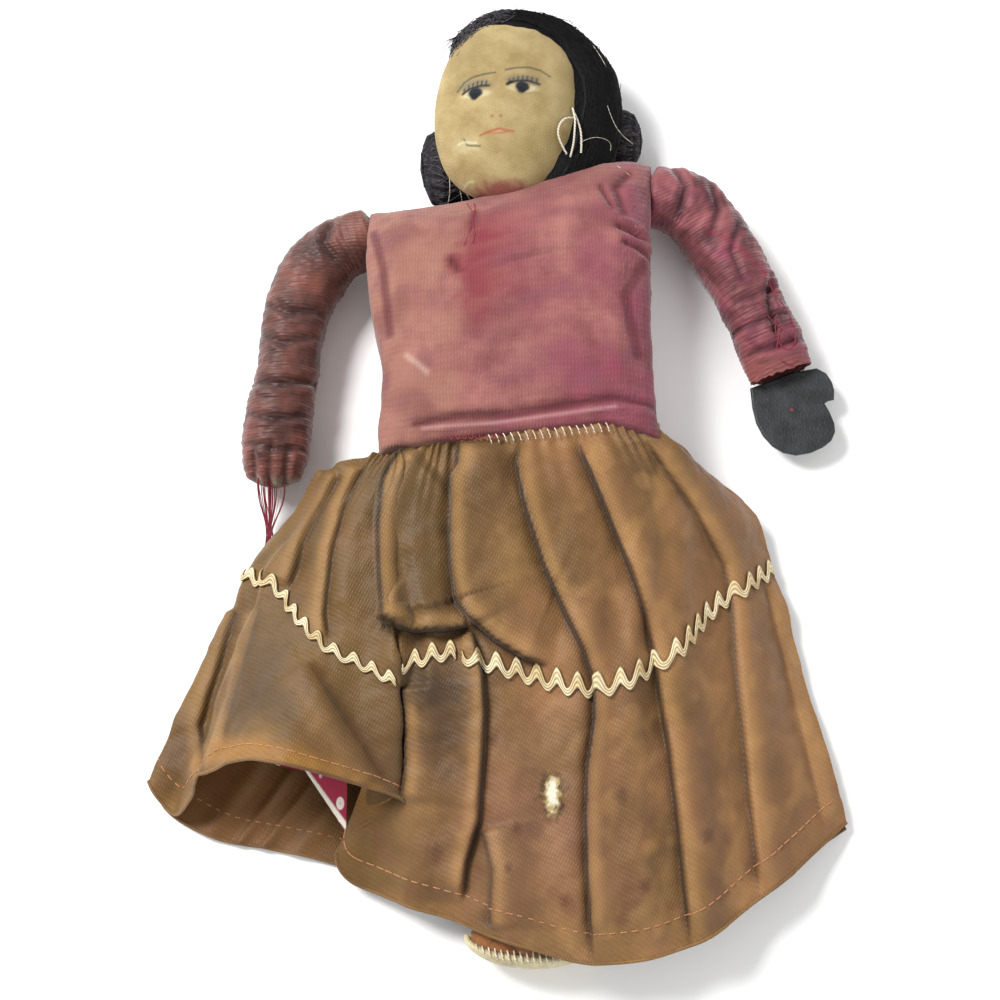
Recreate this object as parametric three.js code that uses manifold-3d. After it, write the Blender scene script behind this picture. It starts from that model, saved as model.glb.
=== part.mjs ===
// A stuffed cloth doll lying on its back: muslin head, velveteen blouse and sleeves,
// pleated sateen skirt with rickrack over a calico petticoat, leather hand and moccasins.
// Millimetres. +X is to the doll's left, +Y to the top of its head, +Z out of its front.
// The origin is on the surface it lies on, under the middle of its outline.
import * as THREE from "three";
import { mergeVertices } from "three/addons/utils/BufferGeometryUtils.js";
import Module from "manifold-3d";

const wasm = await Module();
wasm.setup();

// Driving dimensions
const CLOTH = 1.1; // a sewn cloth wall with its turnings
const GAP = 0.4; // air between neighbouring pieces
const LINING = 0.8; // the muslin bag inside the blouse
const CALICO = 0.7; // petticoat
const TRUNK_DEPTH = 31; // blouse, back to front
const BLOUSE_HEM = 1.6; // above the waist line
const WAIST = { x: 5.7, y: 0.4, tilt: THREE.MathUtils.degToRad(5.4), half: 39.8 };
const HEAD = { x: 2.2, y: 100.2, z: 19, half: [20.4, 28.8, 12.5], tilt: THREE.MathUtils.degToRad(-8) };
const CHIN = 0.13; // how much narrower the head is at the chin
const HAIR = 3.2; // how far the hair stands off the head
const NECK = new THREE.Vector3(0, 76, 14.5);
const NECK_RADIUS = 5.5;
const LEAN_LIMIT = 10; // degrees, head to each side
const NOD_LIMITS = [-8, 25]; // degrees, head back and head forward
const SHOULDER = { right: new THREE.Vector3(-40, 63.8, 12), left: new THREE.Vector3(45.6, 76.6, 12) };
const SHOULDER_RADIUS = 6.2;
const TAB_RADIUS = 2.4; // the unstuffed seam that the arm swings on
const SKIRT_TOP = -1.8; // below the waist line
const RICKRACK_AT = 0.48; // how far down the skirt the rickrack runs, waist 0 to hem 1
const PLEAT = 1.7; // how far a pleat's folded edge stands proud
const PLEAT_EDGES = [0, 0.13, 0.24, 0.33, 0.43, 0.52, 0.62, 0.74, 0.87, 1];
const RICKRACK_WAVES = 29;
const RICKRACK_SWING = 1.3; // half the zigzag's sideways travel
const RICKRACK_HALF = 1.2; // half the braid's own width
const RICKRACK_DROP = 62; // from the waist to the rickrack
const LEG_Z = 11;
const LEATHER = 1; // hand, between its rounded edges
const SOLE = { inner: 0.3, outer: 1.8 }; // sole's faces beyond the foot's shape

const vector = (x, y, z) => new THREE.Vector3(x, y, z);
const curve = (...points) => new THREE.CatmullRomCurve3(points.map((point) => vector(...point)));

// ---- solids ----

// A closed geometry as a solid that can be cut and joined.
function solid(geometry) {
  const bare = geometry.clone();
  bare.deleteAttribute("normal");
  bare.deleteAttribute("uv");
  const merged = mergeVertices(bare, 1e-4);
  return new wasm.Manifold(
    new wasm.Mesh({
      numProp: 3,
      vertProperties: new Float32Array(merged.attributes.position.array),
      triVerts: new Uint32Array(merged.index.array),
    }),
  );
}

// A solid as a geometry again.
function skin(body) {
  const mesh = body.getMesh();
  const geometry = new THREE.BufferGeometry();
  geometry.setAttribute("position", new THREE.Float32BufferAttribute(mesh.vertProperties, 3));
  geometry.setIndex([...mesh.triVerts]);
  return geometry;
}

// A named piece with its own material.
function piece(name, body, color, roughness = 0.9) {
  const geometry = body instanceof THREE.BufferGeometry ? body : skin(body);
  geometry.computeVertexNormals();
  const mesh = new THREE.Mesh(geometry, new THREE.MeshStandardMaterial({ color, roughness, metalness: 0 }));
  mesh.name = name;
  return mesh;
}

// Moves every point of a closed geometry to place(x, y, z).
function shaped(geometry, place) {
  const points = geometry.attributes.position;
  for (let i = 0; i < points.count; i += 1) {
    points.setXYZ(i, ...place(points.getX(i), points.getY(i), points.getZ(i)));
  }
  return geometry;
}

function ball(centre, radius, around = 12, up = 8) {
  return solid(new THREE.SphereGeometry(radius, around, up).translate(centre.x, centre.y, centre.z));
}

// A value that runs evenly through the given stops as t goes from 0 to 1.
function profile(...stops) {
  return (t) => {
    const place = THREE.MathUtils.clamp(t, 0, 1) * (stops.length - 1);
    const index = Math.min(Math.floor(place), stops.length - 2);
    return THREE.MathUtils.lerp(stops[index], stops[index + 1], place - index);
  };
}

// A flattened tube along a path that lies near the table; shrink thins it on every side,
// and overrun carries its end past the path's end.
function tube(path, width, height, { sides = 12, steps = 10, shrink = 0, overrun = 0, to = 1 } = {}) {
  const up = vector(0, 0, 1);
  return solid(
    shaped(new THREE.CylinderGeometry(1, 1, 1, sides, steps), (x, y, z) => {
      const t = (0.5 + y) * to;
      const along = path.getTangent(t);
      const side = along.clone().cross(up).normalize();
      const point = path.getPoint(t).addScaledVector(along, y > 0.499 ? overrun : 0);
      point.addScaledVector(side, x * (width(t) - shrink));
      point.addScaledVector(up, z * (height(t) - shrink));
      return point.toArray();
    }),
  );
}

// A turn about an axis through a point, as manifold's column-major matrix.
function turned(body, centre, axis, degrees) {
  const turn = new THREE.Matrix4()
    .makeTranslation(centre.x, centre.y, centre.z)
    .multiply(new THREE.Matrix4().makeRotationAxis(axis, THREE.MathUtils.degToRad(degrees)))
    .multiply(new THREE.Matrix4().makeTranslation(-centre.x, -centre.y, -centre.z));
  return body.transform(turn.elements);
}

// ---- waist: the rounded section where blouse, band and skirt meet ----

const ACROSS = vector(Math.cos(WAIST.tilt), Math.sin(WAIST.tilt), 0);
const ALONG = vector(-Math.sin(WAIST.tilt), Math.cos(WAIST.tilt), 0);

// A point of the waist's outline: angle 0 at the doll's left, 90 degrees at the front.
function waistPoint(angle, inset, along) {
  const round = (value) => Math.sign(value) * Math.abs(value) ** 0.45;
  const sideways = round(Math.cos(angle)) * (WAIST.half - inset);
  const height = TRUNK_DEPTH / 2 + round(Math.sin(angle)) * (TRUNK_DEPTH / 2 - inset);
  return vector(WAIST.x, WAIST.y, height).addScaledVector(ACROSS, sideways).addScaledVector(ALONG, along);
}

// Everything on the head's side of the waist line, from a distance above it.
function aboveWaist(distance) {
  const size = 300;
  const box = new THREE.BoxGeometry(size, size, size).translate(0, size / 2 + distance, 0);
  return solid(box.rotateZ(WAIST.tilt).translate(WAIST.x, WAIST.y, 0));
}

// A disc of the waist's outline between two distances above the waist line.
function waistDisc(inset, from, to) {
  const disc = new THREE.CylinderGeometry(1, 1, 1, 28, 1);
  return solid(
    shaped(disc, (x, y, z) => {
      const along = y > 0 ? to : from;
      const middle = vector(WAIST.x, WAIST.y, TRUNK_DEPTH / 2).addScaledVector(ALONG, along);
      const centre = Math.hypot(x, z) < 0.5;
      return (centre ? middle : waistPoint(Math.atan2(z, x), inset, along)).toArray();
    }),
  );
}

// ---- trunk ----

// The trunk's pillow shape, drawn in by an inset.
function pillow(inset) {
  const outline = new THREE.Shape();
  outline.moveTo(-31.6, -10);
  outline.lineTo(46.6, -6);
  outline.bezierCurveTo(41.5, 20, 39, 42, 41.6, 66);
  outline.bezierCurveTo(43.4, 80, 39.5, 84.4, 26, 81.1);
  outline.lineTo(-22, 72.3);
  outline.bezierCurveTo(-35.5, 69.8, -39, 65, -37.2, 52);
  outline.bezierCurveTo(-35.6, 36, -32.8, 20, -31.6, -10);
  const roll = { bevelThickness: 12, bevelSize: 5.5, bevelOffset: -5.5, bevelSegments: 3 };
  const geometry = new THREE.ExtrudeGeometry(outline, { depth: TRUNK_DEPTH - 24, curveSegments: 4, ...roll });
  const middle = vector(3, -10, TRUNK_DEPTH / 2);
  const reach = vector(40, 94, TRUNK_DEPTH / 2);
  const drawnIn = (value, centre, half) => centre + (value - centre) * (1 - inset / half);
  return solid(
    shaped(geometry.translate(0, 0, 12), (x, y, z) => [
      drawnIn(x, middle.x, reach.x),
      drawnIn(y, middle.y, reach.y),
      drawnIn(z, middle.z, reach.z),
    ]),
  );
}

// ---- head ----

// The head's egg shape, swollen by a margin.
function egg(margin, around = 16, up = 11) {
  const [halfX, halfY, halfZ] = HEAD.half;
  const geometry = shaped(new THREE.SphereGeometry(1, around, up), (x, y, z) => {
    const chin = 1 - CHIN * Math.max(0, -y) ** 1.5;
    return [x * (halfX * chin + margin), y * (halfY + margin), z * (halfZ + margin)];
  });
  return solid(geometry.rotateZ(HEAD.tilt).translate(HEAD.x, HEAD.y, HEAD.z));
}

// The room that the head sweeps as it leans and nods on its neck.
function headSweep() {
  let room = ball(NECK, NECK_RADIUS + GAP);
  const [back, forward] = NOD_LIMITS;
  for (const lean of [-LEAN_LIMIT, 0, LEAN_LIMIT]) {
    for (const nod of [back, forward / 2, forward]) {
      const nodded = turned(egg(1.2, 12, 9), NECK, vector(1, 0, 0), nod);
      room = room.add(turned(nodded, NECK, vector(0, 0, 1), lean));
    }
  }
  return room;
}

// Height of the head's front over the table at a place.
function faceHeight(x, y) {
  const [halfX, halfY, halfZ] = HEAD.half;
  const across = ((x - HEAD.x) * Math.cos(HEAD.tilt) + (y - HEAD.y) * Math.sin(HEAD.tilt)) / halfX;
  const along = (-(x - HEAD.x) * Math.sin(HEAD.tilt) + (y - HEAD.y) * Math.cos(HEAD.tilt)) / halfY;
  return HEAD.z + halfZ * Math.sqrt(Math.max(0, 1 - across ** 2 - along ** 2));
}

const BUN_PATH = curve([-17, 86.5, 6.8], [-6, 88.5, 5.4], [9, 92, 4.3], [24, 97, 5.2], [35.5, 101, 6.6]);
const BUN_WIDTH = profile(3, 9.6, 9.6, 6.5, 4.2, 4, 4.2, 6.5, 8.4, 8.4, 3);
const BUN_HEIGHT = profile(2, 6, 5.2, 3.4, 2.4, 2.2, 2.4, 3.6, 5.4, 5.8, 2);

function headPieces() {
  const down = curve([NECK.x, NECK.y, NECK.z], [NECK.x, NECK.y - 18, NECK.z]);
  const opening = tube(down, () => 4, () => 4, { steps: 2 });
  const cover = egg(0).subtract(egg(-CLOTH)).subtract(ball(NECK, NECK_RADIUS + GAP)).subtract(opening);
  const stuffing = egg(-CLOTH - GAP).subtract(ball(NECK, NECK_RADIUS + 2 * GAP)).subtract(opening);
  return [
    piece("head_cover", cover, "#b9a373"),
    piece("head_stuffing", stuffing, "#e8e2d4"),
    piece("neck_plug", ball(NECK, NECK_RADIUS), "#b0996b"),
  ];
}

// Hair drawn back from the face into a bun that is bound at its middle behind the nape.
function hairPieces() {
  const bun = (swell) => tube(BUN_PATH, BUN_WIDTH, BUN_HEIGHT, { steps: 14, shrink: -swell });
  const face = new THREE.BoxGeometry(120, 120, 60).translate(0, 0, 30).rotateX(0.3).translate(0, 99, 18.5);
  const nape = solid(new THREE.BoxGeometry(120, 60, 60).translate(0, 60, 0));
  const crown = egg(HAIR).subtract(egg(GAP)).subtract(solid(face)).subtract(nape).subtract(bun(5 * GAP));
  const fall = curve([17, 126, 15], [25.5, 116, 14], [29.5, 105, 13.5], [29.5, 96, 14], [27.5, 90, 14.5]);
  const lock = tube(fall, profile(2, 5, 6.2, 5.6, 4, 1.5), profile(3, 7.5, 8.5, 7, 5, 1.5));
  const side = lock.subtract(egg(HAIR + GAP).subtract(nape)).subtract(egg(GAP)).subtract(bun(GAP));
  const slice = solid(new THREE.BoxGeometry(3, 40, 40).rotateZ(0.27).translate(9, 92, 5));
  const tie = bun(1.3).subtract(bun(GAP)).subtract(egg(GAP)).intersect(slice);
  return [
    piece("hair_crown", crown, "#121113", 0.6),
    piece("hair_side_left", side, "#161417", 0.6),
    piece("hair_bun", bun(0).subtract(egg(GAP)), "#2a282b", 0.7),
    piece("bun_tie", tie, "#d9d5cb"),
  ];
}

// A thread loop through the cheek where an ear would be.
function earring() {
  const loop = shaped(new THREE.TorusGeometry(4.2, 0.35, 5, 16), (x, y, z) => {
    const place = [19.5 + x * 0.8, 92.5 + y * 1.25];
    return [...place, faceHeight(...place) + 1 + z + 0.3 * Math.abs(x)];
  });
  return piece("earring_loop", loop, "#e2dccb");
}

// ---- trunk, blouse and arms ----

function trunkPieces() {
  const room = headSweep()
    .add(ball(SHOULDER.right, SHOULDER_RADIUS + 1))
    .add(ball(SHOULDER.left, SHOULDER_RADIUS + 1));
  const blouse = pillow(0).intersect(aboveWaist(BLOUSE_HEM)).subtract(pillow(CLOTH)).subtract(room);
  const seam = 15; // the side seam's height over the table
  const halves = blouse.splitByPlane([0, 0, 1], seam);
  const back = halves[1].trimByPlane([0, 0, -1], GAP - seam);
  const bag = pillow(CLOTH + GAP).subtract(pillow(CLOTH + GAP + LINING));
  const cover = bag.intersect(aboveWaist(BLOUSE_HEM)).subtract(room);
  const wadding = pillow(CLOTH + 2 * GAP + LINING);
  const stuffing = wadding.intersect(aboveWaist(BLOUSE_HEM + LINING)).subtract(room);
  return [
    piece("blouse_front", halves[0], "#a8626a", 0.95),
    piece("blouse_back", back, "#a05c60", 0.95),
    piece("trunk_cover", cover, "#c2ad80"),
    piece("trunk_stuffing", stuffing, "#e8e2d4"),
  ];
}

const ARMS = {
  right: {
    path: curve([-40, 63.8, 12], [-48, 58.5, 11], [-55, 46, 10], [-58.1, 25, 9.4], [-60.4, 9, 9.2], [-61, -6.5, 9]),
    width: profile(5.6, 6.4, 7.6, 9.2, 9.4, 8.4, 8.2, 8.6, 8.8, 8.6, 4),
    height: profile(5.6, 6.4, 7.6, 8.4, 8.6, 8.2, 8, 8.2, 8.2, 7.6, 3.6),
    color: "#6e3f36",
    openEnd: false,
  },
  left: {
    path: curve([45.6, 76.6, 12], [54.5, 71.5, 11], [64, 57, 10], [70.5, 43, 9.6], [74, 34, 9], [77, 25.6, 8.4]),
    width: profile(5.6, 6.6, 8, 9, 9.2, 9, 8.8, 9, 9.2, 9.4, 9.6),
    height: profile(5.6, 6.6, 7.8, 8.4, 8.6, 8.4, 8, 7.6, 7, 6.2, 5.6),
    color: "#8f4c58",
    openEnd: true,
  },
};

function armPieces(hand) {
  const { path, width, height, color, openEnd } = ARMS[hand];
  const centre = SHOULDER[hand];
  const inward = vector(hand === "right" ? 1 : -1, 0, 0);
  const hole = curve(centre.toArray(), centre.clone().addScaledVector(inward, 12).toArray());
  const opening = tube(hole, () => 3, () => 3, { steps: 2 });
  const arm = (shrink, ending) =>
    tube(path, width, height, { shrink, ...ending }).add(ball(centre, SHOULDER_RADIUS - shrink));
  const hollow = arm(CLOTH, openEnd ? { overrun: 6 } : { to: 0.97 });
  const sleeve = arm(0, {}).subtract(hollow).subtract(opening);
  const tabRoom = ball(centre, TAB_RADIUS + 3 * GAP);
  const stuffing = arm(CLOTH + GAP, { to: openEnd ? 0.97 : 0.95 }).subtract(tabRoom);
  return [
    piece(`sleeve_${hand}`, sleeve, color, 0.95),
    piece(`arm_stuffing_${hand}`, stuffing.subtract(opening), "#e8e2d4"),
    piece(`shoulder_seam_${hand}`, ball(centre, TAB_RADIUS, 8, 6), "#8a4a52"),
  ];
}

// Ends of thread where the doll's right sleeve is gathered shut.
function wristThreads() {
  const fall = curve([-61, -7.4, 8.4], [-62.4, -13, 5], [-62.4, -21, 1.6]);
  const bundle = tube(fall, profile(1.6, 1.1, 0.7), profile(1.2, 0.8, 0.6), { sides: 8, steps: 5 });
  return piece("wrist_threads", bundle, "#6a2430");
}

// A flat leather mitten with a stub of a thumb.
function leatherHand() {
  const outline = new THREE.Shape();
  outline.moveTo(69.3, 19);
  outline.bezierCurveTo(69.6, 10, 74, 3.6, 79.5, 3.5);
  outline.bezierCurveTo(86, 3.5, 92, 7.5, 91.2, 12);
  outline.lineTo(88.6, 18.2);
  outline.lineTo(91.4, 19.4);
  outline.lineTo(90.8, 24.6);
  outline.lineTo(86.6, 26.9);
  outline.lineTo(69.3, 19);
  const roll = { bevelThickness: 0.4, bevelSize: 0.4, bevelOffset: -0.4, bevelSegments: 1 };
  const leather = new THREE.ExtrudeGeometry(outline, { depth: LEATHER, curveSegments: 6, ...roll });
  return piece("hand_left", leather.translate(0, 0, 5.6), "#2a2a2c", 0.6);
}

// ---- skirt ----

const RICK_FRONT = curve(
  [-67.1, -30.5, 4.2], [-60.1, -36.1, 16], [-45.8, -53.5, 24], [-34.2, -60.1, 25.5], [-22, -59.1, 25],
  [-6, -58.6, 25], [15.2, -61.6, 25], [38.2, -56.9, 23.5], [57.1, -44.3, 17], [73, -28.6, 4.4],
);
const HEM_FRONT = curve(
  [-90.9, -85.2, 3.2], [-74.2, -83.2, 22], [-58.8, -83.8, 31], [-41, -88, 27], [-36.6, -105.5, 9],
  [-18, -117.5, 11], [4, -126.2, 19], [34.6, -129.6, 19.5], [61.5, -116.5, 18.5], [89.8, -96.4, 3.2],
);
const RICK_BACK = curve([-67.1, -30.5, 1.2], [-35, -50, 1.2], [0, -57, 1.2], [36, -53, 1.2], [73, -28.6, 1.2]);
const HEM_BACK = curve(
  [-91, -85.2, 0], [-85.5, -92.9, 0], [-68.9, -98.6, 0], [-44, -104.5, 0], [-18, -113, 0],
  [5, -119, 0], [36, -121.5, 0], [64, -112.5, 0], [89.9, -96.4, 0],
);

// A skirt panel's point: u from the doll's right to its left, v from the waist to the hem.
function panelPoint(u, v, waistAngle, rickrackLine, hemLine) {
  const waist = waistPoint(waistAngle(u), 0, SKIRT_TOP);
  const rick = rickrackLine.getPoint(u);
  if (v > RICKRACK_AT) {
    return rick.lerp(hemLine.getPoint(u), (v - RICKRACK_AT) / (1 - RICKRACK_AT));
  }
  const t = v / RICKRACK_AT;
  const point = waist.clone().lerp(rick, t);
  point.z = THREE.MathUtils.lerp(waist.z, rick.z, t * (2 - t));
  return point;
}

function frontPoint(u, v) {
  return panelPoint(u, v, (at) => Math.PI * (1 - at), RICK_FRONT, HEM_FRONT);
}

function backPoint(u, v) {
  return panelPoint(u, v, (at) => Math.PI * (1.03 + 0.94 * at), RICK_BACK, HEM_BACK);
}

// How far the knife pleats stand above the panel; the rickrack is sewn down flat.
function pleat(u, v) {
  const edge = PLEAT_EDGES.findLastIndex((start) => start <= u + 1e-6);
  const from = PLEAT_EDGES[Math.min(edge, PLEAT_EDGES.length - 2)];
  const to = PLEAT_EDGES[Math.min(edge + 1, PLEAT_EDGES.length - 1)];
  const rise = to > from ? (u - from) / (to - from) : 0;
  const free = THREE.MathUtils.smoothstep(Math.abs(v - RICKRACK_AT), 0.03, 0.12);
  const waist = THREE.MathUtils.smoothstep(v, 0, 0.1);
  return PLEAT * (1 - rise) * free * waist;
}

function panelNormal(surface, u, v) {
  const step = 0.01;
  const across = surface(Math.min(u + step, 1), v).sub(surface(Math.max(u - step, 0), v));
  const up = surface(u, Math.max(v - step, 0)).sub(surface(u, Math.min(v + step, 1)));
  return across.cross(up).normalize();
}

// A cloth panel between two offsets from its surface, over a part of its width and length.
function panel(surface, outer, inner, { across, down, left = 0, right = 1, top = 0, hem = 1, raised = () => 0 }) {
  return shaped(new THREE.BoxGeometry(1, 1, 1, across, down, 1), (x, y, z) => {
    const u = THREE.MathUtils.lerp(left, right, x + 0.5);
    const v = THREE.MathUtils.lerp(top, hem, 0.5 - y);
    const offset = z > 0 ? outer + raised(u, v) : inner;
    return surface(u, v).addScaledVector(panelNormal(surface, u, v), offset).toArray();
  });
}

// A zigzag braid laid along a panel.
function rickrack(surface, inner, outer, left, right) {
  return shaped(new THREE.BoxGeometry(1, 1, 1, 2 * RICKRACK_WAVES, 1, 1), (x, y, z) => {
    const u = THREE.MathUtils.lerp(left, right, x + 0.5);
    const turn = Math.round((x + 0.5) * 2 * RICKRACK_WAVES) % 2 ? 1 : -1;
    const across = turn * RICKRACK_SWING - 2 * y * RICKRACK_HALF;
    const v = RICKRACK_AT - 0.01 + (across / RICKRACK_DROP) * RICKRACK_AT;
    const normal = panelNormal(surface, u, v);
    return surface(u, v).addScaledVector(normal, z > 0 ? outer : inner).toArray();
  });
}

function skirtPieces() {
  const band = waistDisc(0, -1.3, 1.1).subtract(waistDisc(CLOTH, -9, 9));
  const front = panel(frontPoint, 0, -CLOTH, { across: 36, down: 10, raised: pleat });
  const back = panel(backPoint, CLOTH, 0, { across: 16, down: 6 });
  const lining = { across: 18, down: 6, left: 0.1, right: 0.92, top: 0.14, hem: 0.87 };
  const frontLining = -CLOTH - 2 * GAP;
  const backLining = CLOTH + GAP;
  return [
    piece("waistband", band, "#c9ae80"),
    piece("skirt_front", front, "#8a5e34", 0.7),
    piece("skirt_back", back, "#7c5430", 0.7),
    piece("petticoat_front", panel(frontPoint, frontLining, frontLining - CALICO, lining), "#b04a58"),
    piece("petticoat_back", panel(backPoint, backLining + CALICO, backLining + 0.15, lining), "#b04a58"),
    piece("rickrack_front", rickrack(frontPoint, 0.7, 1.5, 0.02, 0.98), "#e2cd9c"),
    piece("rickrack_back", rickrack(backPoint, -1.1, -0.35, 0.12, 0.88), "#e2cd9c"),
  ];
}

// ---- legs and moccasins ----

const LEGS = {
  right: { hip: [-9, -5, LEG_Z], ankle: [14.5, -115, 9.6], foot: [8.5, -124, 9.6], toe: -1 },
  left: { hip: [21.2, -4, LEG_Z], ankle: [36.5, -103, 9.8], foot: [44, -108, 9.4], toe: 1 },
};

// A foot's rounded shape lying on its side, swollen by a margin.
function foot(leg, margin) {
  const [x0, y0, z0] = LEGS[leg].foot;
  return solid(
    shaped(new THREE.SphereGeometry(1, 12, 8), (x, y, z) => {
      const narrow = 1 - 0.22 * Math.max(0, x * LEGS[leg].toe);
      return [x0 + x * (16.2 + margin), y0 + y * (7 + margin), z0 + z * (6.6 * narrow + margin)];
    }),
  );
}

function legPieces(leg) {
  const [footX, footY, footZ] = LEGS[leg].foot;
  const path = curve(LEGS[leg].hip, LEGS[leg].ankle);
  const thickness = [profile(7.4, 6.6, 5.6), profile(7.4, 6.8, 5.8)];
  const limb = (shrink, ending) => tube(path, ...thickness, { sides: 10, steps: 4, shrink, ...ending });
  const hollow = limb(CLOTH, { overrun: 8 });
  const shoe = foot(leg, GAP);
  const underneath = solid(new THREE.BoxGeometry(60, 30, 30).translate(footX, footY - 17, footZ));
  const sole = foot(leg, SOLE.outer).subtract(foot(leg, SOLE.inner)).intersect(underneath);
  return [
    piece(`leg_cover_${leg}`, limb(0, {}).subtract(hollow).subtract(shoe), "#c2ad80"),
    piece(`leg_stuffing_${leg}`, limb(CLOTH + GAP, {}).subtract(shoe), "#e8e2d4"),
    piece(`moccasin_upper_${leg}`, foot(leg, 0), "#7a4a22"),
    piece(`moccasin_sole_${leg}`, sole, "#c0b088"),
  ];
}

const doll = new THREE.Group();
doll.add(...headPieces(), ...hairPieces(), earring(), ...trunkPieces());
doll.add(...armPieces("right"), ...armPieces("left"), wristThreads(), leatherHand());
doll.add(...skirtPieces(), ...legPieces("right"), ...legPieces("left"));
export default doll;
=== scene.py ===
import math
import random

import bmesh
import bpy
import numpy as np
from mathutils import Matrix, Vector, noise
from mathutils.bvhtree import BVHTree
from mathutils.kdtree import KDTree


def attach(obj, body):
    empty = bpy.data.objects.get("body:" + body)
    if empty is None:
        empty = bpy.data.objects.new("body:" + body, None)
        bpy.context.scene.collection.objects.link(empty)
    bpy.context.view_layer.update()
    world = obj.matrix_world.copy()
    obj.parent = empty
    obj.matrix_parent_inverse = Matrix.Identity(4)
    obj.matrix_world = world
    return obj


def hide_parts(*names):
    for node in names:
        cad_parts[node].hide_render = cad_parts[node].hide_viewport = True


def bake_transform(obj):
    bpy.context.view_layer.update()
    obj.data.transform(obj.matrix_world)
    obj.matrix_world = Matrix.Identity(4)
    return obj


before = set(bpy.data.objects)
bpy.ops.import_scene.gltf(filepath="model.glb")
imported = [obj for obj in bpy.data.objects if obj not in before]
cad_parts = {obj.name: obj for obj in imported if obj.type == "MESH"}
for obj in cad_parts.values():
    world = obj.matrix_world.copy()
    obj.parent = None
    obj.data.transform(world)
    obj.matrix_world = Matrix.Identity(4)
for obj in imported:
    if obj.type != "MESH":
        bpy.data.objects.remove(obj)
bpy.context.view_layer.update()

# ---- Camera ----
# The doll is looked down on from 15 degrees off straight above, from the side of its feet.


def put(name, data):
    """A new object in the scene."""
    made = bpy.data.objects.new(name, data)
    bpy.context.scene.collection.objects.link(made)
    return made


CAMERA_HEIGHT = math.radians(75)
CAMERA_DISTANCE = 0.5
looked_at = Vector((0, -0.0115, 0.015))
back = Vector((0, -math.cos(CAMERA_HEIGHT), math.sin(CAMERA_HEIGHT)))
camera = put("camera", bpy.data.cameras.new("camera"))
camera.data.lens = 67.92
camera.data.sensor_width = 36
camera.location = looked_at + back * CAMERA_DISTANCE
camera.rotation_mode = "QUATERNION"
camera.rotation_quaternion = (-back).to_track_quat("-Z", "Y")
bpy.context.scene.camera = camera

# ---- Table top and light ----
# A plain white table, a bright even sky and two large soft lamps, the stronger one up to the left.


def linear(colour):
    """An sRGB hex colour as linear red, green, blue and 1."""
    parts = [int(colour[i:i + 2], 16) / 255 for i in (1, 3, 5)]
    return (*[c / 12.92 if c <= 0.04045 else ((c + 0.055) / 1.055) ** 2.4 for c in parts], 1)


def add(tree, kind, inputs={}, **settings):
    """Adds a node with its settings and links. An input is given as a number, a hex colour, a socket,
    or a node whose result it takes."""
    made = tree.nodes.new("ShaderNode" + kind)
    for name, value in settings.items():
        setattr(made, name, value)
    for name, value in inputs.items():
        if isinstance(value, bpy.types.Node):
            value = next(output for output in value.outputs if output.enabled)
        if isinstance(value, bpy.types.NodeSocket):
            tree.links.new(value, made.inputs[name])
        else:
            made.inputs[name].default_value = linear(value) if isinstance(value, str) else value
    return made


def finish_of(name):
    """A new material, its emptied node tree, and the place on the object that its patterns follow."""
    material = bpy.data.materials.new(name)
    material.use_nodes = True
    tree = material.node_tree
    tree.nodes.clear()
    return material, tree, add(tree, "TexCoord").outputs["Object"]


table_finish, tree, _ = finish_of("white_table")
grain = add(tree, "TexNoise", {"Scale": 3.0})
paper = add(tree, "Mix", {"Factor": grain, 6: "#fafafa", 7: "#fcfcfb"}, data_type="RGBA")
add(
    tree, "OutputMaterial",
    {"Surface": add(tree, "BsdfPrincipled", {"Base Color": paper, "Roughness": 0.9})},
)
shape = bmesh.new()
bmesh.ops.create_grid(shape, x_segments=2, y_segments=2, size=4)
bmesh.ops.translate(shape, vec=(0, 0, -0.0003), verts=shape.verts)
table = put("table_top", bpy.data.meshes.new("table_top"))
shape.to_mesh(table.data)
table.data.materials.append(table_finish)

sky = bpy.data.worlds.new("sky")
sky.use_nodes = True
sky.node_tree.nodes["Background"].inputs["Color"].default_value = (1, 1, 1, 1)
sky.node_tree.nodes["Background"].inputs["Strength"].default_value = 0.56
bpy.context.scene.world = sky
bpy.context.scene.view_settings.view_transform = "Standard"
for name, place, size, power in (
    ("lamp_left", (-0.55, 0.35, 0.75), 0.35, 13.5),
    ("lamp_right", (0.7, -0.5, 0.6), 0.8, 4.0),
):
    lamp = put(name, bpy.data.lights.new(name, "AREA"))
    lamp.data.size = size
    lamp.data.energy = power
    lamp.location = place
    lamp.rotation_mode = "QUATERNION"
    lamp.rotation_quaternion = (-Vector(place)).to_track_quat("-Z", "Y")

# ---- Head ----
# A flattened egg of cotton muslin sewn over wadding, with brows, lashed eyes, nose dots and a small
# red mouth painted on it. It is a little frayed at one cheek and stained red under the chin.

MM = 0.001
HEAD_HALF = np.array([20.2, 27.3, 12.5])
HEAD_CENTRE = np.array([2.2, 99.3, 19.0])
HEAD_TILT = math.radians(-8)
SEED = 11


def sheet_mesh(name, across, down, place, finish):
    """A grid of cloth whose point at u, v (both 0 to 1) lies at place(u, v), in millimetres.
    Edges that place() brings together are sewn."""
    shape = bmesh.new()
    bmesh.ops.create_grid(shape, x_segments=across, y_segments=down, size=0.5)
    flat = np.array([v.co for v in shape.verts])
    where = place(flat[:, 0] + 0.5, 0.5 - flat[:, 1])
    for vertex, point in zip(shape.verts, where * MM):
        vertex.co = point
    bmesh.ops.remove_doubles(shape, verts=shape.verts, dist=1e-6)
    bmesh.ops.dissolve_degenerate(shape, dist=1e-7, edges=shape.edges)
    for face in shape.faces:
        face.smooth = True
    if not any(edge.is_boundary for edge in shape.edges):
        bmesh.ops.recalc_face_normals(shape, faces=shape.faces)
    mesh = bpy.data.meshes.new(name)
    shape.to_mesh(mesh)
    mesh.materials.append(finish)
    return put(name, mesh)


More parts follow.
